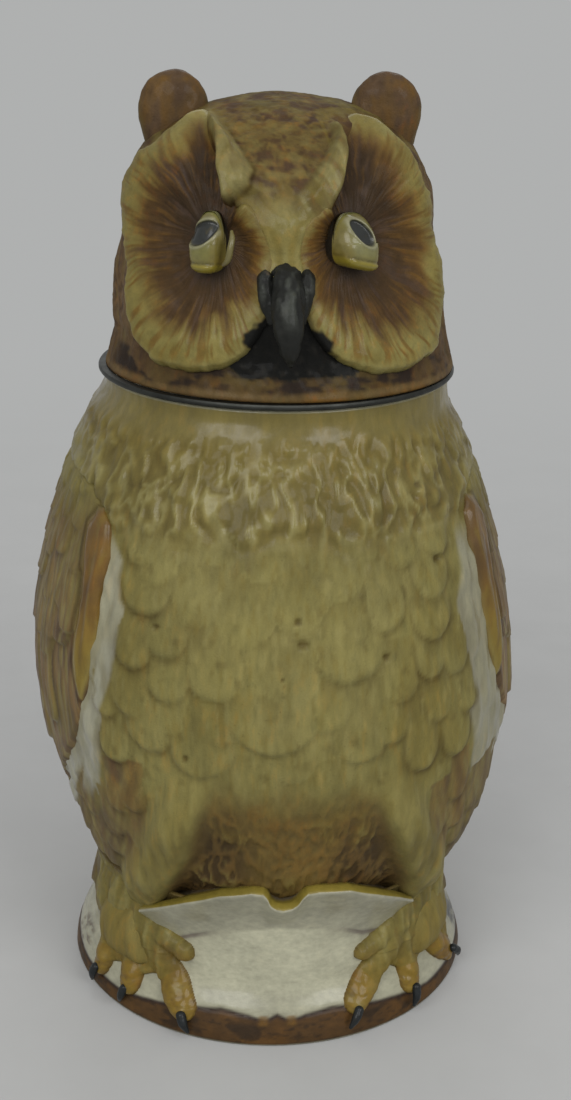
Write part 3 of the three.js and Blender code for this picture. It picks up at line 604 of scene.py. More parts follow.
def bodyFeathers():
    rng = np.random.default_rng(7)
    feathers = [(*row, kinds["breast"]) for row in vesselSet["breastTips"]]
    for k, height in enumerate(np.arange(*vesselSet["ruffRows"])):  # narrow curling tufts
        low, high = -np.interp(height, *breastLeft), np.interp(height, *breastRight)
        for angle in np.arange(low + 1 + 3 * (k % 2), high, 6.6):
            lean = rng.uniform(-38, 38)
            size = rng.uniform(0.7, 1.35)
            spot = (angle + rng.uniform(-2.2, 2.2), height + rng.uniform(-1.8, 1.8))
            feathers.append((*spot, 2.5 * size, 10.5 * size, lean, rng.uniform(0.45, 1.0), kinds["ruff"]))
    # small feathers on the flanks, the shoulders and the back
    for k, height in enumerate(np.arange(*vesselSet["coatRows"])):
        spread = 7.2 / bodyRadius(height) / deg
        for angle in np.arange(-180 + spread / 2 * (k % 2), 180, spread):
            side = np.array([angle])
            wide = abs(angle)
            edge = bySide(side, height, breastLeft, breastRight)[0]
            wing = bySide(side, height, wingLeft, wingRight)[0]
            leg = np.interp(height, legLeft[0], legLeft[2] if angle < 0 else legRight[2])
            low = height < 50 and wide > leg - 3 and (wide < wing - 7 or height < 40)
            behind = wide > 118 and height < 127
            above = height > 108 and wide > edge - 2 and height < 126
            if not (low or behind or above):
                continue
            size = rng.uniform(0.8, 1.2)
            kind = kinds["back" if wide > 118 else ("flank" if height < 58 else "shoulder")]
            spot = (angle + rng.uniform(-1.6, 1.6), height + rng.uniform(-1.3, 1.3))
            feathers.append((*spot, 3.9 * size, 12.5 * size, rng.uniform(-12, 12), rng.uniform(0.6, 0.95), kind))
    for angle, height in vesselSet["fringeTips"]:
        feathers.append((angle, height, 3.6, 13, -4 if angle > 0 else 4, 0.9, kinds["fringe"]))
    return feathers


def legShape(angle, height, leg):
    inner, outer = np.interp(height, leg[0], leg[1]), np.interp(height, leg[0], leg[2])
    share = (angle - inner) / (outer - inner)
    shape = smooth(-0.08, 0.26, share) * (1 - smooth(0.58, 1.15, share))
    fade = (1 - smooth(50, 70, height)) * smooth(8, 12, height)
    return share, shape * fade


def vesselSurface(angle, height, reach):
    points = facing(angle, reach, height)
    lumps, fine = cloud(points, 7.0, 4), cloud(points, 1.1, 5, 2)
    # the edges of the feathers wander, most of all in the ruff
    restless = 0.55 + 1.5 * smooth(104, 113, height)
    sway, lift = cloud(points, 5.0, 201, 2) * restless, cloud(points, 5.0, 202, 2) * restless
    coat = featherCoat(angle + sway / reach / deg, height + lift, reach, bodyFeathers(), 1.25)
    wide = np.abs(angle)
    edge = bySide(angle, height, breastLeft, breastRight)
    strokes, broad = cloud(drawn(points, 0.30), 1.5, 3), cloud(drawn(points, 0.6), 13.0, 6, 2)
    wet = smooth(104, 112, height + lumps * 3)
    hair = strands(points, 2.4, 211, 0.40, 1.6)
    wool = strands(points, 1.6, 213, 0.34, 1.1)

    # white glaze where no feather lies, in the gap on the left and along the front of each wing
    wing = bySide(angle, height, wingLeft, wingRight)
    bare = smooth(0.15, -0.25, coat["edge"] * coat["any"] - 0.1) * between(38, 107, 3, height)
    leftGap = between(1.6, 6.5, 0.8, wide - edge + sway * 0.8) * between(52, 90, 4, height) * (angle < 0)
    bare = np.maximum(bare, leftGap) * smooth(-1.2, 0.6, wide - edge) * smooth(46, 50, height + lumps * 2)
    tail = between(-3.0, 5.5 - smooth(48, 34, height) * 2.5, 1.2, wing - wide + sway * 1.2)
    tail = tail * between(35, 60, 4, height)
    strip = np.maximum(bare, tail) * smooth(104, 96, wide)
    neck = smooth(125.5, 129.0, height + lumps * 0.8)
    ruff = smooth(107, 113, height) * (1 - neck) * (1 - smooth(0, 12, wide - edge))
    shareLeft, shapeLeft = legShape(-angle, height, legLeft)
    shareRight, shapeRight = legShape(angle, height, legRight)
    legs, share = np.maximum(shapeLeft, shapeRight), np.where(angle < 0, shareLeft, shareRight)
    inner = bySide(angle, height, legLeft[:2], legRight[:2])
    belly = smooth(2, -5, wide - inner - 1) * (1 - smooth(54, 68, height))

    rise = coat["rise"] * (1 - neck) * (1 - 0.9 * legs) * (1 - 0.75 * belly)
    rise += (hair - 0.4) * 0.34 * ruff + (wool - 0.4) * 0.50 * belly * (1 - smooth(52, 66, height))
    rise += vesselSet["legRise"] * legs - vesselSet["bellyDip"] * belly * (1 - smooth(40, 64, height))
    combed = cloud(drawn(points, 0.16), 1.9, 12, 2)
    rise += legs * combed * 0.42
    rise += strip * (0.2 + cloud(drawn(points, 0.45), 3.0, 11, 2) * 1.3)
    rise += (1 - neck) * (strokes * 0.13 + lumps * 0.35 + fine * 0.06) + neck * lumps * 0.18
    # the wall sinks a little where a wing covers it
    covered = smooth(1.5, 4.0, wide - wing) * smooth(-1.5, -4.0, wide - np.interp(height, *wingBack))
    covered = covered * between(34, 116, 2, height)
    rise = rise * (1 - covered) - 0.6 * covered

    breast = (coat["kind"] == kinds["breast"]) * (1 - ruff)
    own = ownShare(coat, 17)
    nearEdge = smooth(-12, 0, wide - edge) * (1 - smooth(104, 112, height))
    rim = np.exp(-coat["edge"] / 1.1)
    root = smooth(0.2, 1.0, coat["along"] / 13) * coat["any"]
    dashes = cloud(drawn(points, 0.22), 0.9, 8, 2)
    spots = smooth(0.35, 0.6, cloud(drawn(points, 0.7), 2.2, 10, 3))
    stain = belly * (1 - smooth(52, 66, height + lumps * 6 - smooth(4, 14, wide) * 2))
    corner = stain * smooth(5, 18, wide) * (1 - smooth(44, 60, height + lumps * 4))
    flank = np.isin(coat["kind"], (kinds["flank"], kinds["fringe"], kinds["back"])) * (1 - legs)
    back, shoulder = coat["kind"] == kinds["back"], coat["kind"] == kinds["shoulder"]
    drips = cloud(drawn(points, 0.3), 2.6, 13, 2)
    hatchSpot = np.stack([angle * 0.75 + height * np.sign(angle) * 0.35, height * 0.12, reach * 0], -1)
    hatch = cloud(hatchSpot, 1.0, 14, 2)
    border = smooth(-0.18, -0.02, share) * (1 - smooth(0.0, 0.16, share))
    paint = painted(len(angle), "khaki", [
        ("khakiLight", (0.35 + broad * 0.9 + (own - 0.5) * 0.5) * 0.6),
        ("ochre", smooth(-0.1, -0.6, broad + (own - 0.5) * 0.4) * 0.5),
        # a painted highlight along each breast feather's tip and painted shade towards its root, under the feather
        # above
        ("khakiLight", rim * 0.45 * breast),
        ("khakiShade", root * 0.42 * breast * smooth(-0.5, 0.5, strokes + 0.1)),
        ("ochre", nearEdge * 0.35 * (angle < 0)),
        ("khakiShade", nearEdge * 0.22 * smooth(-0.3, 0.4, strokes)),
        ("khakiShade", (1 - ruff) * smooth(0.1, 0.6, cloud(points, 4.0, 9, 3)) * 0.4),
        ("ochre", breast * smooth(0.15, 0.55, dashes) * 0.4),
        ("khakiLight", breast * smooth(0.15, 0.55, -dashes) * 0.4),
        ((0.105, 0.080, 0.022), breast * spots * 0.45),
        # the ruff's tufts: painted highlight on their crests and painted shade in the gaps between them
        ("ochre", ruff * (0.35 + 0.5 * (1 - hair))),
        ("khakiShade", ruff * smooth(0.55, 0.1, hair) * 0.65),
        ("khakiLight", ruff * smooth(0.5, 1.0, hair) * 0.75),
        ("ochre", smooth(117, 128, height) * 0.7),
        ("khakiShade", neck * (0.25 + smooth(-0.1, 0.6, lumps) * 0.4)),
        ("khakiShade", belly * 0.4),
        ((0.150, 0.098, 0.026), stain * 0.9),
        ("orange", stain * smooth(0.35, 0.9, wool) * 0.5),
        # painted shade in the belly's lower corners beside the legs, low down above the book, and in the gaps of its
        # wool
        ("brown", corner * 0.55 + stain * smooth(40, 34, height) * 0.2),
        ("darkBrown", (corner * 0.5 + stain * 0.15) * smooth(0.65, 0.15, wool)),
        ("gilt", stain * smooth(0.1, 0.6, broad + lumps * 0.5) * 0.4),
        # a painted highlight on the wool's crests
        ("khaki", stain * smooth(0.55, 0.95, wool) * smooth(-0.3, 0.4, lumps) * 0.5),
        ("rose", flank * (0.60 + strokes * 0.35)),
        ("orange", (coat["kind"] == kinds["fringe"]) * 0.35),
        ("brown", flank * smooth(0.0, 0.5, hatch) * 0.45),
        ("khakiLight", flank * smooth(0.1, 0.6, -hatch) * 0.35),
        ("purple", flank * smooth(0.0, 0.5, lumps + strokes * 0.5) * 0.5),
        ("khaki", flank * rim * 0.5),
        ("brown", back * (0.4 + strokes * 0.4)),
        ("brown", shoulder * smooth(-0.2, 0.6, strokes + lumps) * 0.35),
        ("leaf", shoulder * 0.25),
        ((0.190, 0.156, 0.044), legs * 0.8),
        ("khakiShade", legs * smooth(0.0, 0.5, -combed) * 0.6),
        ("khakiLight", legs * smooth(0.0, 0.5, combed) * 0.4),
        ("mustard", legs * (1 - smooth(14, 30, height)) * 0.35),
        # painted shade along the inner edges of the legs, where they stand out from the belly
        ("brown", between(22, 56, 6, height) * border * 0.6),
        ("khakiShade", smooth(0.35, 0.8, fine) * 0.4 * (1 - neck)),
        # the white strips: painted grey as painted shade, with a painted highlight that grows towards the top and on
        # the left
        ("bareAndShadedWhite", strip),
        ("white", strip * (0.22 + 0.5 * smooth(84, 102, height)) * np.where(angle < 0, 1, 0.3)),
        ("khakiShade", strip * smooth(0.2, 0.7, drips) * 0.5),
    ])

    creaseShade = coat["creaseShade"] * (1 - neck) * (1 - legs) * (1 - belly * 0.7) * (0.30 + 0.70 * smooth(12, 34, wide))
    creaseShade = creaseShade * np.where(height > 106, 0.6, 1) * (0.75 + 0.6 * lumps)
    # small dents, with painted shade in each hollow
    for pitAngle, pitHeight, size in vesselSet["pits"]:
        away = np.hypot((angle - pitAngle) * deg * reach, (height - pitHeight) * 1.4) + fine * 0.3
        dent = 1 - smooth(size * 0.3, size, away)
        rise -= dent * size * 0.5
        creaseShade = np.maximum(creaseShade, dent * 0.9)
    gloss = np.clip(strip * 0.85 + wet * (0.22 + 0.35 * smooth(0.3, 0.9, hair)) + neck * 0.30 + 0.08, 0, 1)
    return rise, layered(paint, gloss, creaseShade)


def addVessel(material):
    rows, columns = vesselSet["outsideRows"], vesselSet["columns"]
    inside, under = list(vesselSet["mouth"]), vesselSet["under"]
    neck, neckEnd = inside[-1]
    for level in np.linspace(*vesselSet["cavity"]):
        inside.append((min(bodyRadius(level) - vesselSet["wall"], neck + (neckEnd - level) * 0.9), level))
    inside += vesselSet["inner"]
    allR, allZ, facesR, facesZ = shell(under, outlineRows(bodyLine, rows), inside)
    # the relief fades in at the foot and out at the mouth
    fade = [0, 0.3, 0.6, 0.9] + [1.0] * (rows - 7) + [0.7, 0.4, 0.1]
    shown = np.concatenate([np.zeros(len(under)), fade, np.zeros(len(inside))])

    def place(i, j):
        angle = denserInFront(i, columns, vesselSet["frontBias"])
        reach, level = allR[j], allZ[j]
        outside = np.flatnonzero(shown[j] > 0)
        rise = np.zeros(len(i))
        layers = {"paint": painted(len(i), "white", []), "gloss": np.full(len(i), 0.9), "creaseShade": np.zeros(len(i))}
        got, found = vesselSurface(angle[outside], level[outside], reach[outside])
        rise[outside] = got * shown[j][outside]
        for key in layers:
            layers[key][outside] = found[key]
        points = facing(angle, reach + rise * facesR[j], level + rise * facesZ[j])
        return points, layers

    return gridPiece("owlVessel", columns, len(allR) - 1, place, "vessel", "breast_bisque", material, ["owl_body"])


wingSet = {
    "outside": 220, "inside": 16, "rows": 240, "low": 31, "high": 119, "rise": 0.9, "sunk": -2.6, "edge": -1.2,
    "feathers": [  # share of the way back, height of the tip, half width, length, lean, rise
        (0.10, 85.5, 3.6, 30, -3, 1.0), (0.13, 63.0, 4.2, 50, -2, 0.85),
        (0.19, 77.5, 4.0, 32, 0, 0.95), (0.22, 54.0, 4.3, 54, 0, 0.85), (0.31, 47.0, 4.5, 56, 0, 0.85),
        (0.40, 41.5, 4.5, 56, 1, 0.85), (0.49, 37.5, 4.5, 56, 2, 0.85), (0.57, 35.5, 4.5, 54, 3, 0.85),
        (0.64, 38.0, 4.4, 50, 3, 0.8), (0.72, 43.0, 4.4, 46, 4, 0.8), (0.80, 49.5, 4.4, 42, 4, 0.75),
        (0.88, 57.0, 4.4, 38, 5, 0.75), (0.95, 66.0, 4.2, 32, 5, 0.7),
    ],
    # height, half width, length, rise
    "coverts": [
        (82, 4.2, 17, 0.85), (91, 3.9, 14, 0.85), (99, 3.6, 12, 0.8), (106, 3.2, 10, 0.7), (112, 2.9, 9, 0.6),
    ],
    "blade": [  # outline of the leading feather: angle, height
        (48.4, 113.4), (53.0, 112.2), (56.0, 109.0), (55.4, 104.5), (53.8, 100), (53.2, 95), (53.6, 90), (54.0, 86),
        (53.8, 81.5), (52.8, 77.6), (50.9, 74.0), (49.6, 77.0), (47.6, 82), (46.0, 88), (45.2, 95), (44.4, 101),
        (44.2, 107.2), (45.4, 111.4),
    ],
}


def addWing(name, side, edge, material):
    sign = -1 if side == "left" else 1
    rng = np.random.default_rng(21 if side == "left" else 22)
    outside, inside, rows = wingSet["outside"], wingSet["inside"], wingSet["rows"]
    columns = outside + inside
    bladeAngle, bladeReach = 49, 49  # where the leading feather is laid out flat
    feathers = []
    for share, height, half, length, lean, rise in wingSet["feathers"]:
        front, back = np.interp(height, *edge), np.interp(height, *wingBack)
        front = min(front, np.interp(80, *edge) + 2 + 60 * share)
        angle = sign * (front + (max(back, 120) - front) * share)
        feathers.append((angle, height, half, length, -sign * lean, rise, kinds["wing"]))
    for k, (height, half, length, rise) in enumerate(wingSet["coverts"]):
        for angle in np.arange(np.interp(height, *edge) + 12 + 4 * (k % 2), np.interp(height, *wingBack), 8.0):
            spot = (sign * (angle + rng.uniform(-1.5, 1.5)), height - (angle - 60) * 0.03 + rng.uniform(-1.5, 1.5))
            feathers.append((*spot, half, length, rng.uniform(-9, 9), rise, kinds["covert"]))

    def place(i, j):
        height = wingSet["low"] + (wingSet["high"] - wingSet["low"]) * (j / rows)
        out = np.clip(i / outside, 0, 1)
        back = np.clip((i - outside) / inside, 0, 1)
        share = np.where(i <= outside, out ** 1.15, 1 - back)
        front, rear = np.interp(height, *edge), np.interp(height, *wingBack)
        ends = smooth(0, 5, height - wingSet["low"]) * smooth(0, 5, wingSet["high"] - height)
        angle = sign * (front + (rear - front) * share)
        reach = bodyRadius(height)
        width = np.maximum((rear - front) * deg * reach, 0.01)
        fromFront, fromBack = share * width, (1 - share) * width
        points = facing(angle, reach, height)
        sway, lift = cloud(drawn(points, 0.4), 5.0, 203, 2), cloud(points, 5.0, 204, 2)
        coat = featherCoat(angle + sway * 0.8 / reach / deg, height + lift * 1.2, reach, feathers, 0.9)
        strokes = cloud(drawn(points, 0.16), 1.1, 31)
        barbs = cloud(drawn(points, 0.10), 0.8, 33, 2)
        lumps, broad = cloud(points, 6.0, 32), cloud(drawn(points, 0.5), 9.0, 34, 2)
        # the leading feather follows its own outline, curved and pointed
        shift = np.interp(80, *edge) - np.interp(80, *wingLeft) if side == "right" else 0.0
        outline = [((a - bladeAngle) * deg * bladeReach, h) for a, h in wingSet["blade"]]
        inBlade = insideOf((np.abs(angle) - shift - bladeAngle) * deg * bladeReach, height, outline) + sway * 0.25
        blade = smooth(-0.15, 0.35, inBlade)
        ridge = smooth(-0.1, 2.6, inBlade)
        covert = smooth(96, 108, height + lumps * 4) * (1 - blade)
        body = wingSet["rise"] * (0.55 + 0.45 * np.exp(-fromFront / 14)) * (1 - 0.6 * smooth(98, 114, height))
        shape = smooth(-0.3, 2.0, fromFront) * smooth(-0.3, 6, fromBack) * ends
        feathered = coat["rise"] * (1 - blade) + barbs * 0.12 + strokes * 0.24 * (1 - blade)
        rise = (body + feathered) * shape - 1.2 * (1 - shape) * (1 - blade)
        groove = np.exp(-((np.abs(angle) - shift - 49.6) / 0.7) ** 2)
        groove = groove * smooth(78, 84, height) * (1 - smooth(100, 106, height))
        onBlade = 1.25 * ridge ** 0.8 + lumps * 0.25 + barbs * 0.10 - groove * 0.25
        rise = rise * (1 - blade) + blade * (body * smooth(-0.3, 2.0, fromFront) + onBlade)
        rise = np.where(i > outside, wingSet["sunk"], rise)
        rise = np.where((i == 0) | (i == columns), wingSet["edge"], rise)

        rim = np.exp(-coat["edge"] / 0.7) * (1 - 0.6 * covert)
        quill = np.exp(-(coat["across"] * 7) ** 2) * coat["any"]
        own = ownShare(coat, 19)
        tawny = np.array(glaze["orange"]) * (1.0, 1.05, 1.0)
        paint = painted(len(i), np.array(glaze["rose"]) * 1.15, [
            ("purple", smooth(-0.1, 0.4, strokes + (own - 0.5) * 0.8) * 0.6),
            ((0.190, 0.120, 0.050), smooth(0.0, 0.4, -strokes) * 0.60),
            ("khakiLight", smooth(0.1, 0.4, -barbs) * 0.50),
            ("brown", smooth(0.0, 0.6, lumps) * 0.35 + smooth(0.1, 0.5, barbs) * 0.3),
            ("khaki", smooth(0.0, 0.5, broad) * 0.35),
            ("khakiShade", covert * 0.5),
            ("ochre", covert * smooth(-0.1, 0.5, -strokes) * 0.6),
            ("khaki", smooth(106, 115, height + lumps * 2) * 0.8),
            ("brown", quill * 0.35 * (1 - covert)),
            ("ochre", rim * 0.85 * (0.8 + 0.4 * strokes)),
            ("khakiLight", rim * rim * 0.45 * (coat["kind"] == kinds["wing"])),
            (tawny, blade * 0.95),
            # painted shade: darker brown over the blade's top
            ("brown", blade * smooth(0.0, 0.6, lumps + broad) * smooth(84, 96, height) * 0.55),
            ((0.205, 0.150, 0.022), blade * smooth(98, 76, height + strokes * 5) * 0.9),
            ("brown", blade * (smooth(0.0, 0.6, barbs) * 0.40 + groove * 0.3)),
            ("gilt", blade * smooth(0.1, 0.6, -barbs) * 0.4),
            # a painted highlight along the blade's edge
            ("khakiLight", blade * np.exp(-(inBlade / 0.6) ** 2) * 0.4),
        ])
        creaseShade = coat["creaseShade"] * (0.75 + 0.3 * lumps) * (1 - blade) * (1 - 0.4 * covert)
        # painted shade just outside the blade's outline, where it lies over the feathers
        creaseShade = np.maximum(creaseShade, np.exp(-((inBlade + 0.5) / 0.5) ** 2) * (1 - blade) * 0.8)
        gloss = np.clip(0.22 + blade * 0.45 + rim * 0.3, 0, 1)
        points = facing(angle, reach + rise, height)
        return points, layered(paint, gloss, creaseShade)

    return gridPiece(name, columns, rows, place, "vessel", "breast_bisque", material)


tailSet = {
    "columns": 160, "rows": 110, "low": 11, "high": 46, "half": 24, "rise": 3.2, "sunk": -2.4,
    "tips": [  # angle to either side, height, length
        (18, 17, 26), (11, 14.5, 30), (4.5, 13, 32), (0, 26, 22), (8, 28, 20), (15, 30, 16), (4, 37, 14),
        (12, 39, 12),
    ],
}


def addTail(material):
    columns, rows = tailSet["columns"], tailSet["rows"]
    feathers = []
    for away, height, length in tailSet["tips"]:
        for a in (-away, away) if away else (0,):
            feathers.append((180 + a, height, 4.4, length, -a * 0.3, 1.5 - abs(a) * 0.02, kinds["wing"]))

    def place(i, j):
        height = tailSet["low"] + (tailSet["high"] - tailSet["low"]) * (j / rows)
        outer = columns // 2
        share = np.where(i <= outer, i, columns - i) / outer
        half = tailSet["half"] * (0.72 + 0.28 * smooth(11, 20, height)) * (1 - 0.35 * smooth(28, 46, height))
        angle = 180 + (share * 2 - 1) * half
        reach = bodyRadius(height)
        points = facing(angle, reach, height)
        coat = featherCoat(angle, height, reach, feathers, 0.8)
        strokes = cloud(drawn(points, 0.22), 1.3, 41)
        ends = smooth(0, 2.5, height - tailSet["low"]) * smooth(0, 9, tailSet["high"] - height)
        shape = smooth(0, 0.1, share) * smooth(0, 0.1, 1 - share) * ends
        rise = (tailSet["rise"] + coat["rise"] + strokes * 0.12) * shape - 1.0 * (1 - shape)
        rise = np.where((i > outer) | (j == 0) | (j == rows), tailSet["sunk"], rise)
        rim = np.exp(-coat["edge"] / 1.0)
        bars = smooth(0.2, 0.8, np.sin(coat["along"] * 1.05 + coat["across"] ** 2 * 1.2))
        paint = painted(len(i), "rose", [
            ("brown", 0.45 + strokes * 0.4),
            ("darkBrown", bars * 0.4),
            ("ochre", rim * 0.7),
        ])
        layers = layered(paint, 0.25, coat["creaseShade"])
        return facing(angle, reach + rise, height), layers

    return gridPiece("tail", columns, rows, place, "vessel", "breast_bisque", material)


bookSet = {
    "columns": 420, "rows": 104, "frontBias": 0.42,
    # angles and heights of the lip's top, of the lower edge of the pages and of the cover's edge
    "lipTop": (
        [-50, -46, -41, -36, -27, -18, -9, -6, -4.7, -3.7, -2.2, 0, 2.2, 3.7, 4.7, 6, 9, 18, 27, 36, 41, 46, 50],
        [23.0, 24.6, 26.6, 28.6, 32.2, 35.2, 36.7, 36.6, 35.8, 34.2, 33.3, 33.0, 33.3, 34.2, 35.8, 36.7, 36.9, 36.2,
         33.4, 30.2, 28.0, 26.2, 24.0],
    ),
    "coveLow": (
        [-50, -46, -43, -40, -36, -31, -27, -18, 0, 18, 27, 33, 38, 42, 46, 50],
        [23, 23.2, 21.0, 19.8, 19.4, 20.0, 21.4, 24.0, 25.8, 24.4, 21.6, 20.8, 21.0, 22.4, 24.6, 24],
    ),
    "contour": (
        [-180, -120, -90, -68, -50, -24, -16, -8, -3.6, 0, 3.6, 8, 16, 24, 50, 68, 90, 120, 180],
        [4.2, 4.2, 3.8, 3.1, 3.4, 6.1, 6.7, 6.0, 5.2, 6.3, 5.2, 6.0, 6.7, 6.1, 3.4, 3.6, 3.8, 4.2, 4.2],
    ),
    "under": [(0.0, 0.0), (30.0, 0.0), (41.5, 0.0), (43.8, 0.0), (44.15, 0.35)],  # radius, height
    "panelRadius": 39.4, "panelLow": 12.0, "panelHigh": 26, "lipEnds": (42.5, 46.5), "beadRadius": 0.75, "mouth": 31,
    "footRows": 3, "coverRows": 60,
}


def coverLow(level):
    return 44.2 - 1.9 * (level / 6.5) ** 1.7


def coverHigh(level):
    return 42.35 - 3.0 * smooth(6.0, 12.4, level) ** 0.8


def addBook(material):
    columns, rows = bookSet["columns"], bookSet["rows"]
    panel, panelLow = bookSet["panelRadius"], bookSet["panelLow"]

    def place(i, j):
        angle = denserInFront(i, columns, bookSet["frontBias"])
        wide = np.abs(angle)
        top = np.interp(angle, *bookSet["lipTop"])
        low = np.interp(angle, *bookSet["coveLow"])
        lip = 1 - smooth(*bookSet["lipEnds"], wide)
        lipEdge = 43.7 - 1.3 * smooth(20, 48, wide)
        # each column runs out under the foot, up the cover and the panel, over the lip and back in
        runs = list(bookSet["under"])
        runs += [(coverLow(level), level) for level in np.linspace(0.8, 6.0, 18)]
        runs += [(coverHigh(level), level) for level in np.linspace(6.3, 12.0, 14)]
        panelTop = np.where(lip > 0, np.minimum(low, bookSet["panelHigh"]), 20.0)
        for share in np.linspace(0.06, 1, 16):
            level = panelLow + (panelTop - panelLow) * share
            behind = smooth(50, 56, wide) * smooth(0, 3, level - panelLow) * 3.2
            runs.append((panel - behind, level))
        sweepStart = len(runs)
        for share in np.linspace(0.04, 1, 26):
            rise = panelTop + (top - 1.2 - panelTop) * share
            swept = (1 - np.cos(share * math.pi / 2)) ** 0.8
            reach = panel + (lipEdge - panel) * swept * lip - (1 - lip) * (3.2 + share)
            runs.append((reach, np.where(lip > 0, rise, 20 + share * 2)))
        for share in np.linspace(0.1, 1, 10):
            bead = share * math.pi
            reach = lipEdge + bookSet["beadRadius"] * (np.cos(bead) - 1) + 0.35 * np.sin(bead)
            level = np.where(lip > 0, top - 1.2 + 1.2 * np.sin(bead / 2), 22 + share)
            runs.append((reach - (1 - lip) * 7.5 - share * 0.3, level))
        for share in np.linspace(0.12, 1, 8):
            reach = (lipEdge - 1.8) * (1 - share) + bookSet["mouth"] * share - (1 - lip) * 5 * (1 - share)
            runs.append((reach, np.where(lip > 0, top - 0.2 - 1.4 * share, 23.0 - share)))
        runs.append((0.0, 21.0))
        stackR = np.array([r + 0 * top for r, z in runs])
        stackZ = np.array([z + 0 * top for r, z in runs])
        count = len(runs)
        at = j / rows * (count - 1)
        base = np.minimum(at.astype(int), count - 2)
        share = at - base
        pick = np.arange(len(i))
        reach = stackR[base, pick] * (1 - share) + stackR[base + 1, pick] * share
        level = stackZ[base, pick] * (1 - share) + stackZ[base + 1, pick] * share
        points = facing(angle, reach, level)
        lumps = cloud(points, 5.0, 51)
        fine = cloud(drawn(points, 2.5), 1.5, 52)
        onLip = base >= sweepStart - 1
        contour = np.interp(angle, *bookSet["contour"]) + lumps * 0.25
        below, beneathFoot = base < bookSet["coverRows"], base <= bookSet["footRows"]
        outerFace = ~beneathFoot & (base < count - 2)

        # painted shade on the panel just under the cove
        beneath = np.exp(-np.clip(low - level, 0, 9) / 1.5) * (level < low) * (level > panelLow)
        beneath = beneath * smooth(8, 20, wide) * below
        cover = (level < contour) & below
        blotch = cloud(points * np.array([0.5, 0.5, 1]), 2.4, 53, 2)
        line = np.exp(-((level - contour) / 0.42) ** 2) * below * ~beneathFoot
        ochreTouch = between(2.6, 5.2, 0.8, wide) * between(4.4, 6.4, 0.5, level) * (level < contour + 1.0)
        # the gilt edge of the page, the lip's inner side and the dark line under the lip, which is a painted shadow
        innerLip = base >= count - 9
        giltLine = (base >= count - 17) & ~innerLip
        under = np.exp(-((level - low + 0.1) / 0.5) ** 2) * smooth(17, 26, wide) * lip
        under = under * (base > 40) * (base < count - 20)
        side = smooth(52, 60, wide)
        around = angle + lumps * 6
        leftPatch = between(-86, -72, 3, around) * between(4, 8.5, 0.8, level + fine)
        leftPatch = leftPatch * smooth(-0.4, 0.2, lumps + fine)
        rightPatch = between(78, 92, 3, around) * between(4.5, 12.5, 1.0, level + fine * 1.5)
        rightPatch = rightPatch * smooth(-0.5, 0.1, lumps + fine)
        paint = painted(len(i), "white", [
            # the cove under the lip is painted grey as painted shade, and the panel greyer towards its foot
            ("bareAndShadedWhite", onLip * 0.75 + (level < 16) * smooth(12, 9, level) * 0.45),
            ((0.150, 0.135, 0.095), beneath * 0.65 * lip),
            ("leather", cover),
            ((0.110, 0.052, 0.012), cover * smooth(-0.2, 0.4, lumps) * 0.6),
            ("darkBrown", cover * smooth(0.1, 0.5, fine) * 0.7),
            ("darkBrown", cover * between(1.2, 4.6, 0.6, level) * smooth(0.25, 0.4, blotch) * 0.85),
            ((0.030, 0.017, 0.012), line * 0.95),
            ("orange", ochreTouch * 0.8),
            # painted shade along the cover's lowest edge, where it meets the floor
            ("black", (1 - smooth(0.35, 0.8, level)) * (base < 30)),
            ((0.215, 0.168, 0.030), giltLine * lip),
            ("brown", innerLip * lip * 0.7),
            ((0.060, 0.035, 0.035), under * 0.8),
            ("brown", leftPatch * 0.85),
            ("slate", rightPatch * 0.9),
            ("khakiShade", side * smooth(9.5, 12.5, level + lumps) * below * 0.7),
            ("bareAndShadedWhite", beneathFoot),
        ])
        pages = side * between(5, 12, 1, level) * np.sin(level * 4.5 + lumps * 2) * 0.10
        wave = outerFace * (lumps * 0.10 + fine * 0.04 * cover) + pages
        gloss = np.where(beneathFoot, 0.1, np.where(cover, 0.22, 0.97))
        # the line where the cover meets the pages also darkens as painted shade
        layers = layered(paint, gloss, line * 0.3)
        return facing(angle, reach + wave - line * 0.12, level), layers

    return gridPiece("openBook", columns, rows, place, "vessel", "breast_bisque", material)


def sweep(spec, sides, rings, squash=1.0):
    # rings of a rounded limb along a curve of (angle, reach, height, radius), closed to a point at both ends
    angle, reach, height, radius = np.array(spec, float).T
    line = curveThrough(np.column_stack([facing(angle, reach, height), radius]), 20)
    run = np.concatenate([[0], np.cumsum(np.linalg.norm(np.diff(line[:, :3], axis=0), axis=1))])
    where = np.linspace(0, run[-1], rings - 7)
    course = np.stack([np.interp(where, run, line[:, a]) for a in range(4)], -1)
    along = np.gradient(course[:, :3], axis=0)
    along /= np.linalg.norm(along, axis=1)[:, None]
    caps = []
    for end, sign in ((0, -1), (-1, 1)):
        tip = []
        for share in (0.35, 0.65, 0.88, 1.0):
            spot = course[end, :3] + along[end] * sign * course[end, 3] * share * 0.9
            tip.append([*spot, course[end, 3] * math.sqrt(max(1 - share ** 2, 0))])
        caps.append((np.array(tip), np.tile(along[end], (4, 1))))
    course = np.vstack([caps[0][0][::-1], course, caps[1][0]])
    along = np.vstack([caps[0][1], along, caps[1][1]])
    side = np.stack([-course[:, 1], course[:, 0], 0 * course[:, 0]], -1)
    side -= along * np.sum(side * along, axis=1)[:, None]
    side /= np.linalg.norm(side, axis=1)[:, None]
    lift = np.cross(along, side)
    turn = np.linspace(0, 2 * math.pi, sides + 1)
    spoke = side[:, None] * np.cos(turn)[None, :, None] + lift[:, None] * np.sin(turn)[None, :, None] * squash
    return course, spoke


def limbPiece(name, spec, size, surface, body, slot, material, nodes=(), squash=1.0):
    # surface says how far the limb swells at each place, and gives its layers
    sides, rings = size
    course, spoke = sweep(spec, sides, rings, squash)

    def place(i, j):
        out = spoke[j, i]
        spot = course[j, :3] + out * course[j, 3][:, None]
        rise, layers = surface(spot, out, j / (len(course) - 1), i / sides * 2 * math.pi)
        return spot + out * rise[:, None], layers

    return gridPiece(name, sides, len(course) - 1, place, body, slot, material, nodes)


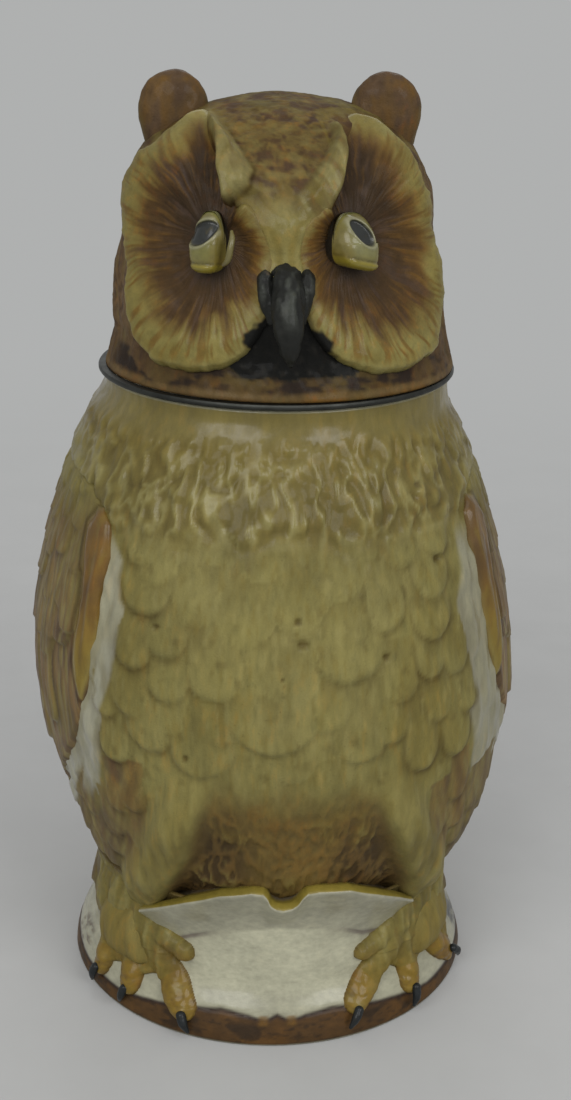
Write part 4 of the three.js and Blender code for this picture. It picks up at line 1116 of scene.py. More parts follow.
footSet = {
    "columns": 170, "rows": 140, "low": 1.5, "high": 31.0, "reach": 42.0, "sunk": -2.2, "clawSize": (28, 60),
    "left": {
        "span": (-88, -16),
        "toes": [  # points of (angle, height, half width, rise)
            [(-66, 22, 3.6, 1.6), (-62, 13.5, 3.2, 2.0), (-60.2, 8.4, 3.2, 2.6), (-60, 6.0, 2.7, 2.2)],
            [(-56, 22, 3.4, 1.8), (-50.4, 13.7, 3.1, 2.2), (-47.2, 9.0, 3.1, 2.8), (-46.4, 6.4, 2.7, 2.3)],
            [(-46, 22, 3.4, 1.8), (-39, 15.5, 3.3, 2.2), (-34, 11.9, 3.3, 2.5), (-30.5, 8.8, 3.3, 2.9),
             (-27.2, 5.8, 2.9, 2.2)],
            [(-42, 20.5, 3.0, 1.8), (-35, 19.0, 2.7, 1.9), (-28.8, 17.4, 2.5, 2.6)],
        ],
        "body": [
            (-74, 34), (-72, 18), (-68, 10), (-64, 7.6), (-59, 6.6), (-53, 8.2), (-46, 7.4), (-40, 9.4),
            (-35, 9.8), (-33, 14), (-32, 19.5), (-37, 21), (-45, 22), (-48, 34),
        ],
    },
    "right": {
        "span": (16, 90),
        "toes": [
            [(64, 22, 3.6, 1.6), (58, 14, 3.3, 2.0), (59.5, 9.5, 3.3, 2.6), (64.0, 6.3, 2.8, 2.3)],
            [(52, 22, 3.4, 1.8), (45, 13, 3.1, 2.2), (43.8, 9.0, 2.9, 2.8), (42.8, 6.5, 2.5, 2.3)],
            [(44, 22, 3.4, 1.8), (35.5, 15, 3.3, 2.4), (30, 11.8, 3.3, 2.8), (26.5, 9.4, 3.0, 2.7),
             (23.2, 7.1, 2.6, 2.2)],
            [(38, 19.5, 3.0, 1.8), (31.5, 18.0, 2.4, 2.0), (27.0, 16.9, 1.9, 2.5)],
        ],
        "body": [
            (76, 34), (75.5, 16), (73, 9), (66, 6.6), (58, 7.8), (52, 9.8), (44, 7.8), (38, 10.6), (31, 10.2),
            (31, 15), (29, 18.8), (30, 20.8), (38, 21), (47, 22), (49, 34),
        ],
    },
    "claws": {  # angle, reach, height, radius
        "clawOuterLeft": [(-60.0, 44.6, 5.4, 0.96), (-60.6, 45.2, 3.8, 0.88), (-61.4, 45.0, 1.8, 0.40)],
        "clawMiddleLeft": [(-46.6, 44.2, 5.4, 0.96), (-47.2, 44.8, 3.8, 0.88), (-48.0, 44.7, 2.0, 0.40)],
        "clawInnerLeft": [(-26.6, 44.7, 5.2, 1.04), (-25.6, 45.3, 3.6, 0.96), (-24.4, 45.1, 1.8, 0.40)],
        "clawInnerRight": [(22.8, 44.4, 6.4, 0.96), (21.4, 45.1, 4.9, 0.88), (20.0, 45.0, 3.0, 0.40)],
        "clawMiddleRight": [(42.8, 44.6, 6.0, 0.96), (42.2, 45.2, 4.2, 0.88), (41.6, 45.0, 2.0, 0.40)],
        "clawOuterRight": [(65.0, 44.5, 6.2, 0.96), (67.0, 45.1, 4.8, 0.88), (69.0, 45.0, 2.8, 0.40)],
    },
}


def bookFace(level):
    # radius of the cover, the page and, higher up, of the legs
    cover = np.where(level < 6.15, coverLow(np.clip(level, 0, 9)), coverHigh(level))
    return np.maximum(cover, np.where(level > 16, bodyRadius(level) + 1.6 * smooth(16, 22, level), 0))


def footRelief(foot, angle, height):
    # how far the foot stands out: broad above, parting into round toes below
    u = angle * deg * footSet["reach"]
    toes, tip = np.zeros(len(u)), np.zeros(len(u))
    for toe in foot["toes"]:
        line = curveThrough(toe, 9)
        last = len(line) - 2
        for k, (start, end) in enumerate(zip(line[:-1], line[1:])):
            x, dx = start[0] * deg * footSet["reach"], (end[0] - start[0]) * deg * footSet["reach"]
            dy = end[1] - start[1]
            share = np.clip(((u - x) * dx + (height - start[1]) * dy) / (dx * dx + dy * dy), 0, 1)
            away = np.hypot(u - x - share * dx, height - start[1] - share * dy)
            wide = start[2] + (end[2] - start[2]) * share
            tall = (start[3] + (end[3] - start[3]) * share) * (0.78 + 0.08 * np.sin((k + share) * 1.15))
            bump = tall * np.clip(1 - (away / wide) ** 2.4, 0, 1) ** 0.6
            tip = np.where(bump > toes, (k + share) / last, tip)
            toes = np.maximum(toes, bump)
    inBody = insideOf(u, height, [(a * deg * footSet["reach"], h) for a, h in foot["body"]])
    body = 1.7 * (1 - np.exp(-np.maximum(inBody, 0) / (0.8 + 3.2 * smooth(10, 22, height))))
    most = np.maximum(toes, body)
    return most + np.minimum(toes, body) * 0.35, tip * (toes > body * 0.6), most > 0.02


def clawSurface(spot, out, share, turn):
    wrinkle = cloud(drawn(spot, 1.8), 1.6, 61, 2)
    paint = painted(len(share), "slate", [("black", smooth(0.0, 0.5, wrinkle) * 0.6)])
    return wrinkle * 0.08, layered(paint, 0.45)


def addFoot(name, foot, material):
    columns, rows = footSet["columns"], footSet["rows"]

    def place(i, j):
        # the front runs there and the hidden back runs back again
        share = np.where(i <= columns, i, 2 * columns - i) / columns
        angle = foot["span"][0] + (foot["span"][1] - foot["span"][0]) * share
        height = footSet["low"] + (footSet["high"] - footSet["low"]) * (j / rows)
        base = bookFace(height)
        points = facing(angle, base, height)
        lumps, fine = cloud(points, 3.2, 64, 2), cloud(drawn(points, 1.6), 1.1, 65, 2)
        combed = cloud(drawn(points, 0.18), 1.3, 66, 2)
        relief, tip, shown = footRelief(foot, angle + lumps * 0.35, height + lumps * 0.2)
        scaled = smooth(0.45, 0.8, tip) * smooth(20, 14, height)
        relief = relief * smooth(31, 25, height)
        edge = np.clip(relief / (0.8 - 0.5 * smooth(12, 22, height)), 0, 1)
        relief = relief + edge * (combed * 0.42 * (1 - scaled) + fine * 0.12 * scaled + lumps * 0.15)
        rise = np.where(relief > 0.03, relief, -0.5) - 0.8 * smooth(27, 31, height)
        hidden = (i > columns) | (i == 0) | (j == 0) | (j == rows)
        rise = np.where(hidden, footSet["sunk"], rise)
        paint = painted(len(i), "leaf", [
            ("khakiLight", smooth(0.0, 0.5, combed) * 0.55),
            ("khakiShade", smooth(0.0, 0.5, -combed) * 0.65),
            ("mustard", scaled * 0.85 + smooth(20, 9, height) * 0.45),
            ("khakiLight", scaled * smooth(0.1, 0.6, lumps) * 0.35),
            ("orange", smooth(0.0, 0.5, -lumps) * (0.25 + 0.35 * scaled)),
            # painted shade along the edges of the foot and its toes, where the relief runs out
            ("brown", smooth(0.1, 0.6, -fine) * 0.35 * scaled + (1 - edge) * 0.55),
        ])
        layers = layered(paint, 0.18 + 0.45 * scaled, (1 - edge) * shown * 0.5)
        return facing(angle, base + rise, height), layers

    return gridPiece(name, columns * 2, rows, place, "vessel", "breast_bisque", material)


headSet = {
    "columns": 400, "outsideRows": 180, "frontBias": 0.42, "hollow": 2.2, "brow": 3.0,
    "seat": [(34.8, 135.35), (34.8, 136.0), (32.2, 136.0), (31.6, 136.6)],  # radius, height
    "inner": [  # height, radius
        (136.6, 31.6), (142, 29.8), (148, 29.3), (155, 28.4), (162, 27), (170, 26), (177, 22), (181.5, 14),
        (184, 0),
    ],
    # outlines seen from the front, as sideways and height
    "browLeft": [
        (-16.5, 186.0), (-14.4, 183.6), (-13.3, 181.3), (-13.0, 178.8), (-12.9, 175.5), (-12.0, 171.0),
        (-10.6, 170.2), (-8.6, 172.0), (-6.7, 173.6), (-6.0, 176.2), (-8.4, 179.9), (-11.0, 182.8), (-13.6, 186.0),
    ],
    "browRight": [
        (9.4, 184.6), (10.4, 182.4), (11.3, 180.3), (11.4, 177.5), (10.6, 173.7), (9.4, 170.9), (8.2, 168.4),
        (4.0, 168.0), (0.9, 170.2), (1.6, 172.6), (3.9, 175.2), (6.4, 178.0), (8.3, 180.8), (8.2, 184.0),
    ],
    "patch": [
        (-8.6, 181.0), (-5.7, 176.6), (-6.0, 173.8), (-3.6, 171.2), (-1.0, 168.9), (0.9, 169.4), (1.6, 172.6),
        (3.9, 175.2), (6.4, 178.0), (8.3, 181.4), (10.0, 186.2), (-13.0, 186.2),
    ],
    "bib": [
        (-5.6, 157.0), (-5.2, 150.7), (-8.6, 148.5), (-8.8, 145.6), (-11.6, 144.3), (-12.4, 141.6), (-9.2, 139.8),
        (-3.3, 139.5), (2.6, 139.2), (8.1, 139.2), (12.0, 139.8), (13.4, 142.1), (10.0, 144.7), (9.0, 147.0),
        (6.6, 149.4), (4.9, 150.6), (5.0, 157.0),
    ],
}
discSet = {
    "spokes": 520, "rings": 80, "rim": 2.3, "sunk": -2.6, "behind": -14, "search": (22.0, -20.0), "halvings": 34,
    "left": {
        "centre": (-13.5, -29.5, 163.7), "look": (-0.533, -0.82, 0.208), "sign": 1,
        "outline": [
            (-12.4, 24.6), (-15.0, 20.5), (-18.2, 16.9), (-22.2, 13.9), (-24.6, 10.5), (-23.4, 4.4), (-21.6, -1.2),
            (-20.2, -6.7), (-19.2, -12.3), (-17.4, -18.7), (-12.6, -23.0), (-7.7, -24.0), (-2.2, -23.7),
            (1.7, -22.4), (4.8, -20.6), (7.4, -17.8), (9.2, -15.2), (10.4, -12.6), (9.8, -9.4), (10.2, -6.0),
            (10.6, -2.9), (10.2, 0.6), (8.8, 3.8), (6.0, 6.6), (3.2, 8.0), (0.9, 12.0), (-0.6, 15.8), (-3.0, 18.9),
            (-7.3, 22.0),
        ],
    },
    "right": {
        "centre": (12.6, -29.8, 164.3), "look": (0.533, -0.82, 0.208), "sign": -1,
        "outline": [
            (6.0, 23.8), (11.0, 23.5), (12.5, 21.0), (14.0, 17.8), (16.6, 14.2), (18.5, 10.0), (20.2, 6.2),
            (20.6, 1.5), (21.8, -3.2), (22.7, -9.0), (22.6, -14.7), (21.3, -19.4), (17.8, -22.8), (12.1, -24.2),
            (6.7, -24.7), (2.1, -24.1), (-2.5, -22.4), (-6.2, -19.6), (-7.9, -16.4), (-9.1, -12.9), (-9.2, -9.6),
            (-9.6, -6.6), (-10.2, -2.9), (-9.8, 1.0), (-8.2, 4.0), (-6.0, 5.6), (-4.2, 7.4), (-2.6, 10.2),
            (-0.8, 13.8), (0.6, 17.2), (1.2, 20.0), (3.0, 22.4),
        ],
    },
}


def discAxes(disc):
    look = np.array(disc["look"]) / np.linalg.norm(disc["look"])
    right = np.array([-look[1], look[0], 0]) / math.hypot(look[0], look[1])
    return look, right, np.cross(look, right) * np.sign(np.cross(look, right)[2])


def discReach(disc, theta):
    # distance from the eye to the disc's edge, by direction
    outline = np.array(disc["outline"])
    angles = np.arctan2(outline[:, 1], outline[:, 0])
    order = np.argsort(angles)
    far = np.hypot(outline[:, 0], outline[:, 1])[order]
    angles = angles[order]
    angles = np.concatenate([angles - 2 * math.pi, angles, angles + 2 * math.pi])
    fine = np.linspace(-math.pi, math.pi, 721)
    edge = np.interp(fine, angles, np.tile(far, 3))
    kernel = np.hanning(15) / np.hanning(15).sum()
    edge = np.convolve(np.concatenate([edge[-8:-1], edge, edge[1:8]]), kernel, "valid")
    return np.interp((theta + math.pi) % (2 * math.pi) - math.pi, fine, edge)


def discShare(disc, points):
    # share of the way from the eye to the disc's edge, for places on the head
    look, right, up = discAxes(disc)
    offset = points - np.array(disc["centre"])
    a, b = offset @ right, offset @ up
    theta = np.arctan2(b, a)
    share = np.hypot(a, b) / discReach(disc, theta)
    return np.where(offset @ look > discSet["behind"], share, 9.0)


def headRadius(height):
    return np.interp(height, headCurve[:, 0], headCurve[:, 1], right=0.0)


def addHead(material):
    rows, columns = headSet["outsideRows"], headSet["columns"]
    outline = [values[::-1] for values in outlineRows(headLine, rows)]
    inside = headSet["seat"] + [(r, z) for z, r in curveThrough(headSet["inner"], 3)[1:]]
    allR, allZ, facesR, facesZ = shell([], outline, inside)
    run = np.concatenate([[0], np.cumsum(np.hypot(np.diff(outline[1]), np.diff(outline[0])))])
    allRun = np.concatenate([run, np.full(len(inside), run[-1])])

    def place(i, j):
        angle = denserInFront(i, columns, headSet["frontBias"])
        reach, level, outer = allR[j], allZ[j], (j < rows) * 1.0
        points = facing(angle, reach, level)
        x, y, z = points.T
        lumps, fine = cloud(points, 5.0, 71), cloud(points, 1.2, 72, 2)
        broad, strokes = cloud(points, 11.0, 74, 2), cloud(drawn(points, 0.5), 1.7, 75, 3)
        around = angle * deg * np.maximum(reach, 12)
        around = around + cloud(points, 7.0, 70, 2) * 5.0 + cloud(points, 1.6, 69, 2) * 1.6
        down = allRun[j] + cloud(points, 6.0, 77, 2) * 4.0 + cloud(points, 1.4, 66, 2) * 1.3
        scale = flecks(around, down, 5.4, 3.0, 73) * smooth(-0.6, 0.2, cloud(points, 8.0, 68, 2) + 0.2)
        tiny = flecks(around + 1.3, down, 2.9, 1.9, 79)
        disc = np.minimum(*(discShare(discSet[side], points) for side in ("left", "right")))
        ahead = smooth(2, 8, -y)
        wobble = cloud(points, 3.0, 80, 2) * 0.5
        browL = insideOf(x, z, headSet["browLeft"]) + wobble * 0.6
        browR = insideOf(x, z, headSet["browRight"]) + wobble * 0.6
        brow = np.maximum(browL, browR)
        # the left fold has a sharp lower edge, the right one melts into the forehead
        rightSide = smooth(9.5, 3.0, x) * (browR > browL)
        soften = 0.5 + 3.0 * rightSide
        onBrow = smooth(-0.25, 0.5 + soften * 0.5, brow) * ahead
        plane = smooth(-0.3, 1.0 + soften * 0.8, brow) * ahead * smooth(186.0, 181.5, z)
        patch = smooth(-0.6, 0.8, insideOf(x, z, headSet["patch"]) + wobble) * ahead * (1 - onBrow)
        under = (1 - smooth(0.78, 0.92, disc)) * (1 - plane)
        front = smooth(6, 14, -y)
        bridge = front * (1 - smooth(4.0, 10.5, np.abs(x))) * between(153.0, 170.0, 3.0, z) * (1 - plane)
        band = 1 - smooth(140.5, 144.5, z + lumps * 1.2)
        ragged = wobble * 2.2 + fine * 0.7
        bib = smooth(-0.35, 0.45, insideOf(x, z, headSet["bib"]) + ragged) * front
        rise = (1 - under) * (lumps * 0.45 + broad * 0.3 - scale * 0.10 + strokes * 0.10) + fine * 0.08
        rise += bridge * (0.8 + 1.0 * np.exp(-(x / 2.4) ** 2)) - under * headSet["hollow"]
        lean = np.clip(np.where(browL > browR, (-x - 6.0) / 6.5, (x - 1.0) / 9.0), 0, 1)
        rise += plane * (0.55 + (headSet["brow"] - 0.75) * lean ** 0.7 + lumps * 0.4)
        lobe = np.exp(-(np.hypot(x + 7.4, z - 174.6) / 2.2) ** 2) * ahead
        rise += lobe * 0.8 - patch * 0.2

        side = smooth(30, 70, np.abs(angle)) * (1 - smooth(172, 182, z))
        dab = np.clip(scale * 0.85 + tiny * 0.45, 0, 1) * smooth(-0.7, 0.4, strokes + fine * 0.5)
        mottle = cloud(np.stack([x * 0.6 + z * 0.25, z * 1.15, y * 0.6], -1), 1.7, 61, 3)
        top = smooth(170, 174, z + lumps) * smooth(-20, -2, -y) * (1 - onBrow)
        grain = cloud(np.stack([x + z * 0.55, z * 0.16, y * 0.3], -1), 1.0, 65, 2)
        smear = smooth(-0.12, 0.22, cloud(points * np.array([0.6, 0.6, 1.2]), 2.6, 84, 3))
        dusk = between(136.9, 141.6, 0.7, z + lumps * 0.8) * front
        sharpLeft = smooth(-9.0, -7.0, x) * smooth(179.0, 175.0, z) + smooth(-7.5, -10.0, x)
        sharp = np.where(browL > browR, sharpLeft, smooth(7.0, 9.5, x))
        # painted shade: a dark line along the sharp edges of the brow folds and under the left lobe
        creaseShade = np.exp(-((brow + 0.35) / 0.35) ** 2) * ahead * 0.8 * (1 - plane)
        creaseShade = creaseShade * np.clip(sharp, 0, 1) * smooth(184, 180, z)
        creaseShade = np.maximum(creaseShade, np.exp(-(np.hypot(x + 6.6, (z - 172.3) * 1.6) / 1.2) ** 2) * ahead * 0.3)
        gloss = (0.10 * front + patch * 0.08 + bridge * 0.25 + onBrow * 0.2) * smooth(184, 176, z)
        hidden = outer < 1
        paint = painted(len(i), (0.086, 0.058, 0.022), [
            ("khakiShade", smooth(-0.3, 0.4, broad + lumps * 0.6) * 0.75),
            ("orange", smooth(0.0, 0.5, -lumps + strokes * 0.6) * 0.35),
            ((0.145, 0.090, 0.044), side * 0.75),
            ((0.050, 0.027, 0.012), dab * 0.85),
            ("purple", dab * smooth(-0.1, 0.4, strokes) * 0.5 + side * smooth(0.0, 0.4, strokes) * 0.45),
            ("darkBrown", dab * smooth(0.0, 0.5, lumps) * 0.45),
            ("khakiShade", side * smooth(0.1, 0.5, -strokes) * 0.45),
            ("orange", smooth(0.2, 0.7, cloud(points, 3.4, 67, 2)) * 0.3),
            ((0.142, 0.100, 0.032), patch * 0.75),
            ("orange", patch * smooth(-0.1, 0.5, strokes) * 0.35),
            ((0.050, 0.028, 0.016), patch * dab * 0.95),
            ((0.064, 0.036, 0.020), top * smooth(0.06, 0.34, mottle) * 0.8),
            ((0.170, 0.136, 0.044), top * smooth(0.08, 0.40, -mottle) * 0.5),
            ((0.190, 0.160, 0.052), smooth(172.5, 168.5, z - np.abs(x) * 0.4) * patch * 0.6),
            ((0.210, 0.178, 0.060), bridge),
            # a painted highlight along the ridge of the bridge
            ("khakiLight", bridge * np.exp(-(x / 1.4) ** 2) * 0.4),
            ("orange", bridge * smooth(2.5, 6.0, np.abs(x)) * smooth(-0.4, 0.3, fine + strokes) * 0.65),
            ("ochre", bridge * smooth(0.0, 0.5, lumps) * 0.4),
            ((0.200, 0.168, 0.062), onBrow * (0.9 - 0.45 * rightSide)),
            ((0.140, 0.112, 0.036), onBrow * (browR > browL) * 0.55),
            ("ochre", onBrow * smooth(0.0, 0.5, strokes) * 0.55),
            ("khakiShade", onBrow * smooth(0.1, 0.6, -lumps) * 0.4),
            ((0.110, 0.074, 0.026), onBrow * smooth(0.0, 0.4, grain) * 0.65),
            ((0.250, 0.222, 0.088), onBrow * smooth(0.1, 0.5, -grain) * 0.5),
            # a painted highlight on the left lobe
            ((0.250, 0.220, 0.085), lobe * onBrow * 0.7),
            ("ochre", (1 - onBrow) * between(1.0, 1.10, 0.03, disc) * smooth(150, 160, z) * 0.5),
            ("brown", band * (1 - bib) * 0.45),
            ("orange", band * smooth(0.0, 0.5, -lumps) * smooth(138.8, 137.6, z) * 0.5),
            ((0.026, 0.018, 0.013), dusk * (0.12 + 0.88 * smear) * (1 - bib)),
            ((0.140, 0.095, 0.040), between(135.8, 136.9, 0.3, z + lumps * 0.4) * (1 - smear * 0.5) * 0.6),
            ("brown", under * 0.9),
            ("soot", bib),
            ((0.024, 0.022, 0.018), bib * smooth(0.1, 0.6, fine) * 0.5),
            ("white", hidden),
        ])
        gloss = np.where(hidden, 0.8, gloss)
        rise = rise * outer * smooth(0, 0.8, z - 136)
        layers = layered(paint, gloss, creaseShade * outer)
        return facing(angle, reach + rise * facesR[j], level + rise * facesZ[j]), layers

    return gridPiece("owlHead", columns, len(allR) - 1, place, "lid", "head_bisque", material, ["owl_head"])


def addDisc(name, disc, material):
    spokes, rings = discSet["spokes"], discSet["rings"]
    look, right, up = discAxes(disc)
    centre = np.array(disc["centre"])
    top = int(rings * 0.88)

    def place(i, j):
        theta = i / spokes * 2 * math.pi
        share = np.where(j <= top, (j / top) ** 0.9, 1 - (j - top) / (rings - top))
        way = np.stack([np.cos(theta), np.sin(theta), 0 * theta], -1)
        frill = cloud(way * 9, 1.0, 81, 2)
        inner = np.arctan2(np.sin(theta), np.cos(theta) * disc["sign"]) / deg
        bridge = between(-62, 52, 16, inner)
        fold = between(62, 112, 10, inner)
        edge = discReach(disc, theta) * (1 + 0.026 * frill * (1 - 0.6 * fold))
        edge = edge + 0.16 * np.abs(np.sin(theta * 15 + frill * 4.5)) * (1 - fold) * (1 - bridge)
        a, b = np.cos(theta) * edge * share, np.sin(theta) * edge * share
        # the place on the head's own surface behind each point
        start = centre + a[:, None] * right + b[:, None] * up
        far, close = (np.full(len(i), end) for end in discSet["search"])
        for _ in range(discSet["halvings"]):
            middle = (far + close) / 2
            spot = start + middle[:, None] * look
            out = np.hypot(spot[:, 0], spot[:, 1]) > headRadius(spot[:, 2])
            far, close = np.where(out, middle, far), np.where(out, close, middle)
        spot = start + far[:, None] * look
        flat = np.hypot(spot[:, 0], spot[:, 1])
        slope = headRadius(spot[:, 2] + 0.5) - headRadius(spot[:, 2] - 0.5)
        normal = np.stack([spot[:, 0] / np.maximum(flat, 1), spot[:, 1] / np.maximum(flat, 1), -slope], -1)
        normal /= np.linalg.norm(normal, axis=1)[:, None]
        # brush strokes that wander off the straight spokes
        flatSpot = np.column_stack([a, b, a * 0])
        bend = cloud(flatSpot, 7.0, 86, 2) * 0.09
        swung = np.stack([np.cos(theta + bend), np.sin(theta + bend)], -1)
        streak = cloud(np.column_stack([swung * 12, share * 2.8]), 1.0, 82, 3)
        fineStreak = cloud(np.column_stack([swung * 34, share * 6]), 1.0, 83, 2)
        soft, blots = cloud(flatSpot, 5.0, 85, 3), cloud(flatSpot, 2.2, 87, 3)
        # a broad rim outside and below, none towards the bridge, and a deep hollow under the brow
        crest = discSet["rim"] * (1 - 0.60 * bridge) * (1 - fold)
        bowl = smooth(0.30, 0.90, share) ** 1.3
        rim = bowl * (1 - smooth(0.93, 1.02, share) ** 2 * 0.75 * (1 - bridge))
        sunk = -1.3 - 0.6 * fold * smooth(0.2, 0.6, share)
        rise = sunk + (crest - sunk) * rim * (1 - fold)
        melt = 1 - bridge * smooth(0.55, 0.85, share)
        brushed = (streak * 0.17 + fineStreak * 0.08 + blots * 0.08) * smooth(0.12, 0.4, share)
        rise += (brushed + soft * 0.4 * smooth(0.2, 0.6, share)) * melt
        rise += frill * 0.3 * smooth(0.7, 0.95, share) * (1 - bridge) * (1 - fold)
        rise -= 0.5 * bridge * smooth(0.93, 1.0, share)
        beneath = j > top
        rise = np.where(beneath, discSet["sunk"], rise)

        upper = np.clip(np.sin(theta), 0, 1)
        lower = np.clip(-np.sin(theta), 0, 1)
        outward = np.clip(-np.cos(theta) * disc["sign"], 0, 1)
        reached = share + streak * 0.13 + fineStreak * 0.04 + soft * 0.09 + blots * 0.04
        # dark brown round the eye is the disc's own colour, made deeper in the upper part and under the brow's fold
        # as painted shade
        darkness = np.clip(upper * 1.1 + 0.25 * (1 - bridge), 0, 1)
        dark = (1 - smooth(0.40, 0.84, reached)) * (0.30 + 0.70 * darkness) * (1 - 0.55 * bridge)
        deepest = np.clip(dark * 1.2 + fold * 0.65 * (1 - smooth(0.75, 1.0, share)), 0, 1)
        left = disc["sign"] > 0
        wide = outward * (0.0 if left else 0.07)
        begin = 0.80 + 0.01 * upper - 0.09 * lower + 0.11 * bridge + 0.10 * fold + wide
        light = smooth(begin - 0.17, begin + 0.09, reached)
        # painted shadow round the eye, deepest below it
        socket = (1 - smooth(0.16, 0.40, share)) * (0.45 + 0.55 * (np.sin(theta) < 0.2))
        ragged = cloud(spot, 3.0, 80, 2) * 1.1 + cloud(spot, 1.2, 72, 2) * 0.7
        inBib = insideOf(spot[:, 0], spot[:, 2], headSet["bib"]) + ragged - 1.4
        bib = smooth(-0.35, 0.45, inBib - 1.4 * smooth(147, 143, spot[:, 2]))
        paint = painted(len(i), np.array(glaze["brown"]) * 1.05, [
            ("orange", smooth(0.45, 0.80, reached) * 0.6),
            ("darkBrown", deepest * 0.86),
            ((0.205, 0.174, 0.054), light * (1 - 0.4 * fold)),
            ("ochre", light * outward * 0.45 * left),
            ("khakiLight", smooth(0.90, 0.99, share) * (0.45 + 0.5 * frill) * (1 - bridge)),
            ("orange", light * smooth(-0.1, 0.4, -fineStreak - streak * 0.6) * smooth(0.99, 0.86, share) * 0.75),
            ("ochre", light * smooth(0.0, 0.5, soft + blots * 0.5) * 0.5),
            ("purple", smooth(0.05, 0.5, -streak + blots * 0.5) * (1 - light) * 0.45),
            ("orange", smooth(0.0, 0.6, fineStreak + blots * 0.5) * (1 - light) * smooth(0.3, 0.6, share) * 0.4),
            ((0.024, 0.020, 0.017), socket * 0.75),
            ((0.170, 0.125, 0.046), (1 - melt) * smooth(0.84, 1.0, share + streak * 0.14) * 0.85),
            ("soot", bib),
        ])
        # painted shade in the grooves of the streaks and along the edge of the fold
        creaseShade = smooth(0.15, 0.6, -fineStreak) * 0.22 * smooth(0.3, 0.6, share) * (1 - bib) * melt
        creaseShade = creaseShade + fold * smooth(0.90, 1.0, share) * 0.5
        gloss = (0.08 + light * 0.22) * (1 - bib)
        layers = layered(paint, gloss, creaseShade * ~beneath)
        return spot + normal * rise[:, None], layers

    return gridPiece(name, spokes, rings, place, "lid", "head_bisque", material)


eyeSet = {
    "segments": 80, "rings": 64, "seat": 0.4,
    "left": {
        "shift": -0.8, "half": (3.1, 5.5, 3.5), "slope": 0.02, "pupil": (-0.3, 1.8), "tilt": 32, "size": (3.1, 2.0),
        "narrow": 0.26, "low": 3.2,
    },
    "right": {
        "shift": -0.6, "half": (4.0, 5.0, 4.2), "slope": -0.24, "pupil": (0.2, 1.7), "tilt": -48, "size": (2.9, 1.6),
        "narrow": 0.16, "low": 4.2,
    },
}


def addEye(name, side, material):
    disc, eye = discSet[side], eyeSet[side]
    look, right, up = discAxes(disc)
    forward = np.array([look[0], look[1], 0.02])
    forward /= np.linalg.norm(forward)
    up = np.cross(right, forward)
    up = up * np.sign(up[2])
    segments, rings = eyeSet["segments"], eyeSet["rings"]
    wide, tall, deep = eye["half"]
    seat = np.array(disc["centre"]) - forward * eyeSet["seat"] + right * eye["shift"]

    def place(i, j):
        # rings run from the middle of the front to the middle of the back
        theta, bend = i / segments * 2 * math.pi, j / rings * math.pi
        a, b, f = np.cos(theta) * np.sin(bend), np.sin(theta) * np.sin(bend), np.cos(bend)
        power = np.where(b < 0, eye["low"], 2.9)
        square = (np.abs(a) ** power + np.abs(b) ** power + np.abs(f) ** power) ** (1 / power)
        a, b, f = a / square * wide, b / square * tall, f / square * deep
        narrow = 1 - eye["narrow"] * smooth(0.0, tall, b)
        a = a * narrow
        b = b + a * eye["slope"] * smooth(1.0, -2.0, b)
        # the glance goes up, so the upper half is cut back to the pupil
        f = f - smooth(-1.6, tall, b) * 1.8 * (f > 0)
        px, py = eye["pupil"]
        c, s = math.cos(eye["tilt"] * deg), math.sin(eye["tilt"] * deg)
        u, v = (a - px) * c + (b - py) * s, (b - py) * c - (a - px) * s
        ring = np.hypot(u / eye["size"][0], v / eye["size"][1])
        ahead = f > 0.3
        pupil = (1 - smooth(0.80, 1.0, ring)) * ahead
        edge = np.exp(-((ring - 1.10) / 0.12) ** 2) * ahead
        outline = np.exp(-((ring - 0.90) / 0.09) ** 2) * ahead
        base = b - a * eye["slope"]
        lid = ahead * smooth(tall - 1.7, tall - 0.7, b)
        foot = smooth(tall - 1.9, tall - 1.3, -base) * (f > -0.5)
        groove = np.exp(-((base + tall - 1.95) / 0.16) ** 2) * (f > -0.5)
        f = f - pupil * 0.75 + edge * 0.20 + (foot * 0.55 - groove * 0.25) * ahead
        spot = seat + a[:, None] * right + b[:, None] * up + f[:, None] * forward
        lumps, fine = cloud(spot, 3.0, 91, 2), cloud(spot, 0.9, 92, 2)
        whites = smooth(-0.3, 0.4, lumps) * between(-0.4 * tall, 0.35 * tall, 1.5, b)
        corners = smooth(0.4, 0.95, np.abs(a) / wide) * 0.45 + smooth(0.3, 0.8, -base / tall) * 0.4
        paint = painted(len(i), (0.150, 0.140, 0.040), [
            ((0.235, 0.225, 0.120), whites * 0.6),
            ("gilt", corners),
            ((0.215, 0.175, 0.020), foot * 0.85),
            # painted shade in the groove above the eye's lower rim
            ((0.060, 0.050, 0.014), groove * 0.6),
            ("khakiShade", lid * 0.7),
            ((0.300, 0.290, 0.190), edge * 0.6),
            ((0.022, 0.024, 0.022), pupil),
            ((0.012, 0.013, 0.012), np.clip(outline + pupil * smooth(0.0, 0.5, fine) * 0.7, 0, 1) * 0.85),
            ("khakiShade", smooth(0.3, 0.7, fine) * 0.25),
            # the back of the eye, hidden in the head, painted black as painted shade in any gap
            ("black", f < -0.8),
        ])
        return spot, layered(paint, 1.0)

    return gridPiece(name, segments, rings, place, "lid", "head_bisque", material)


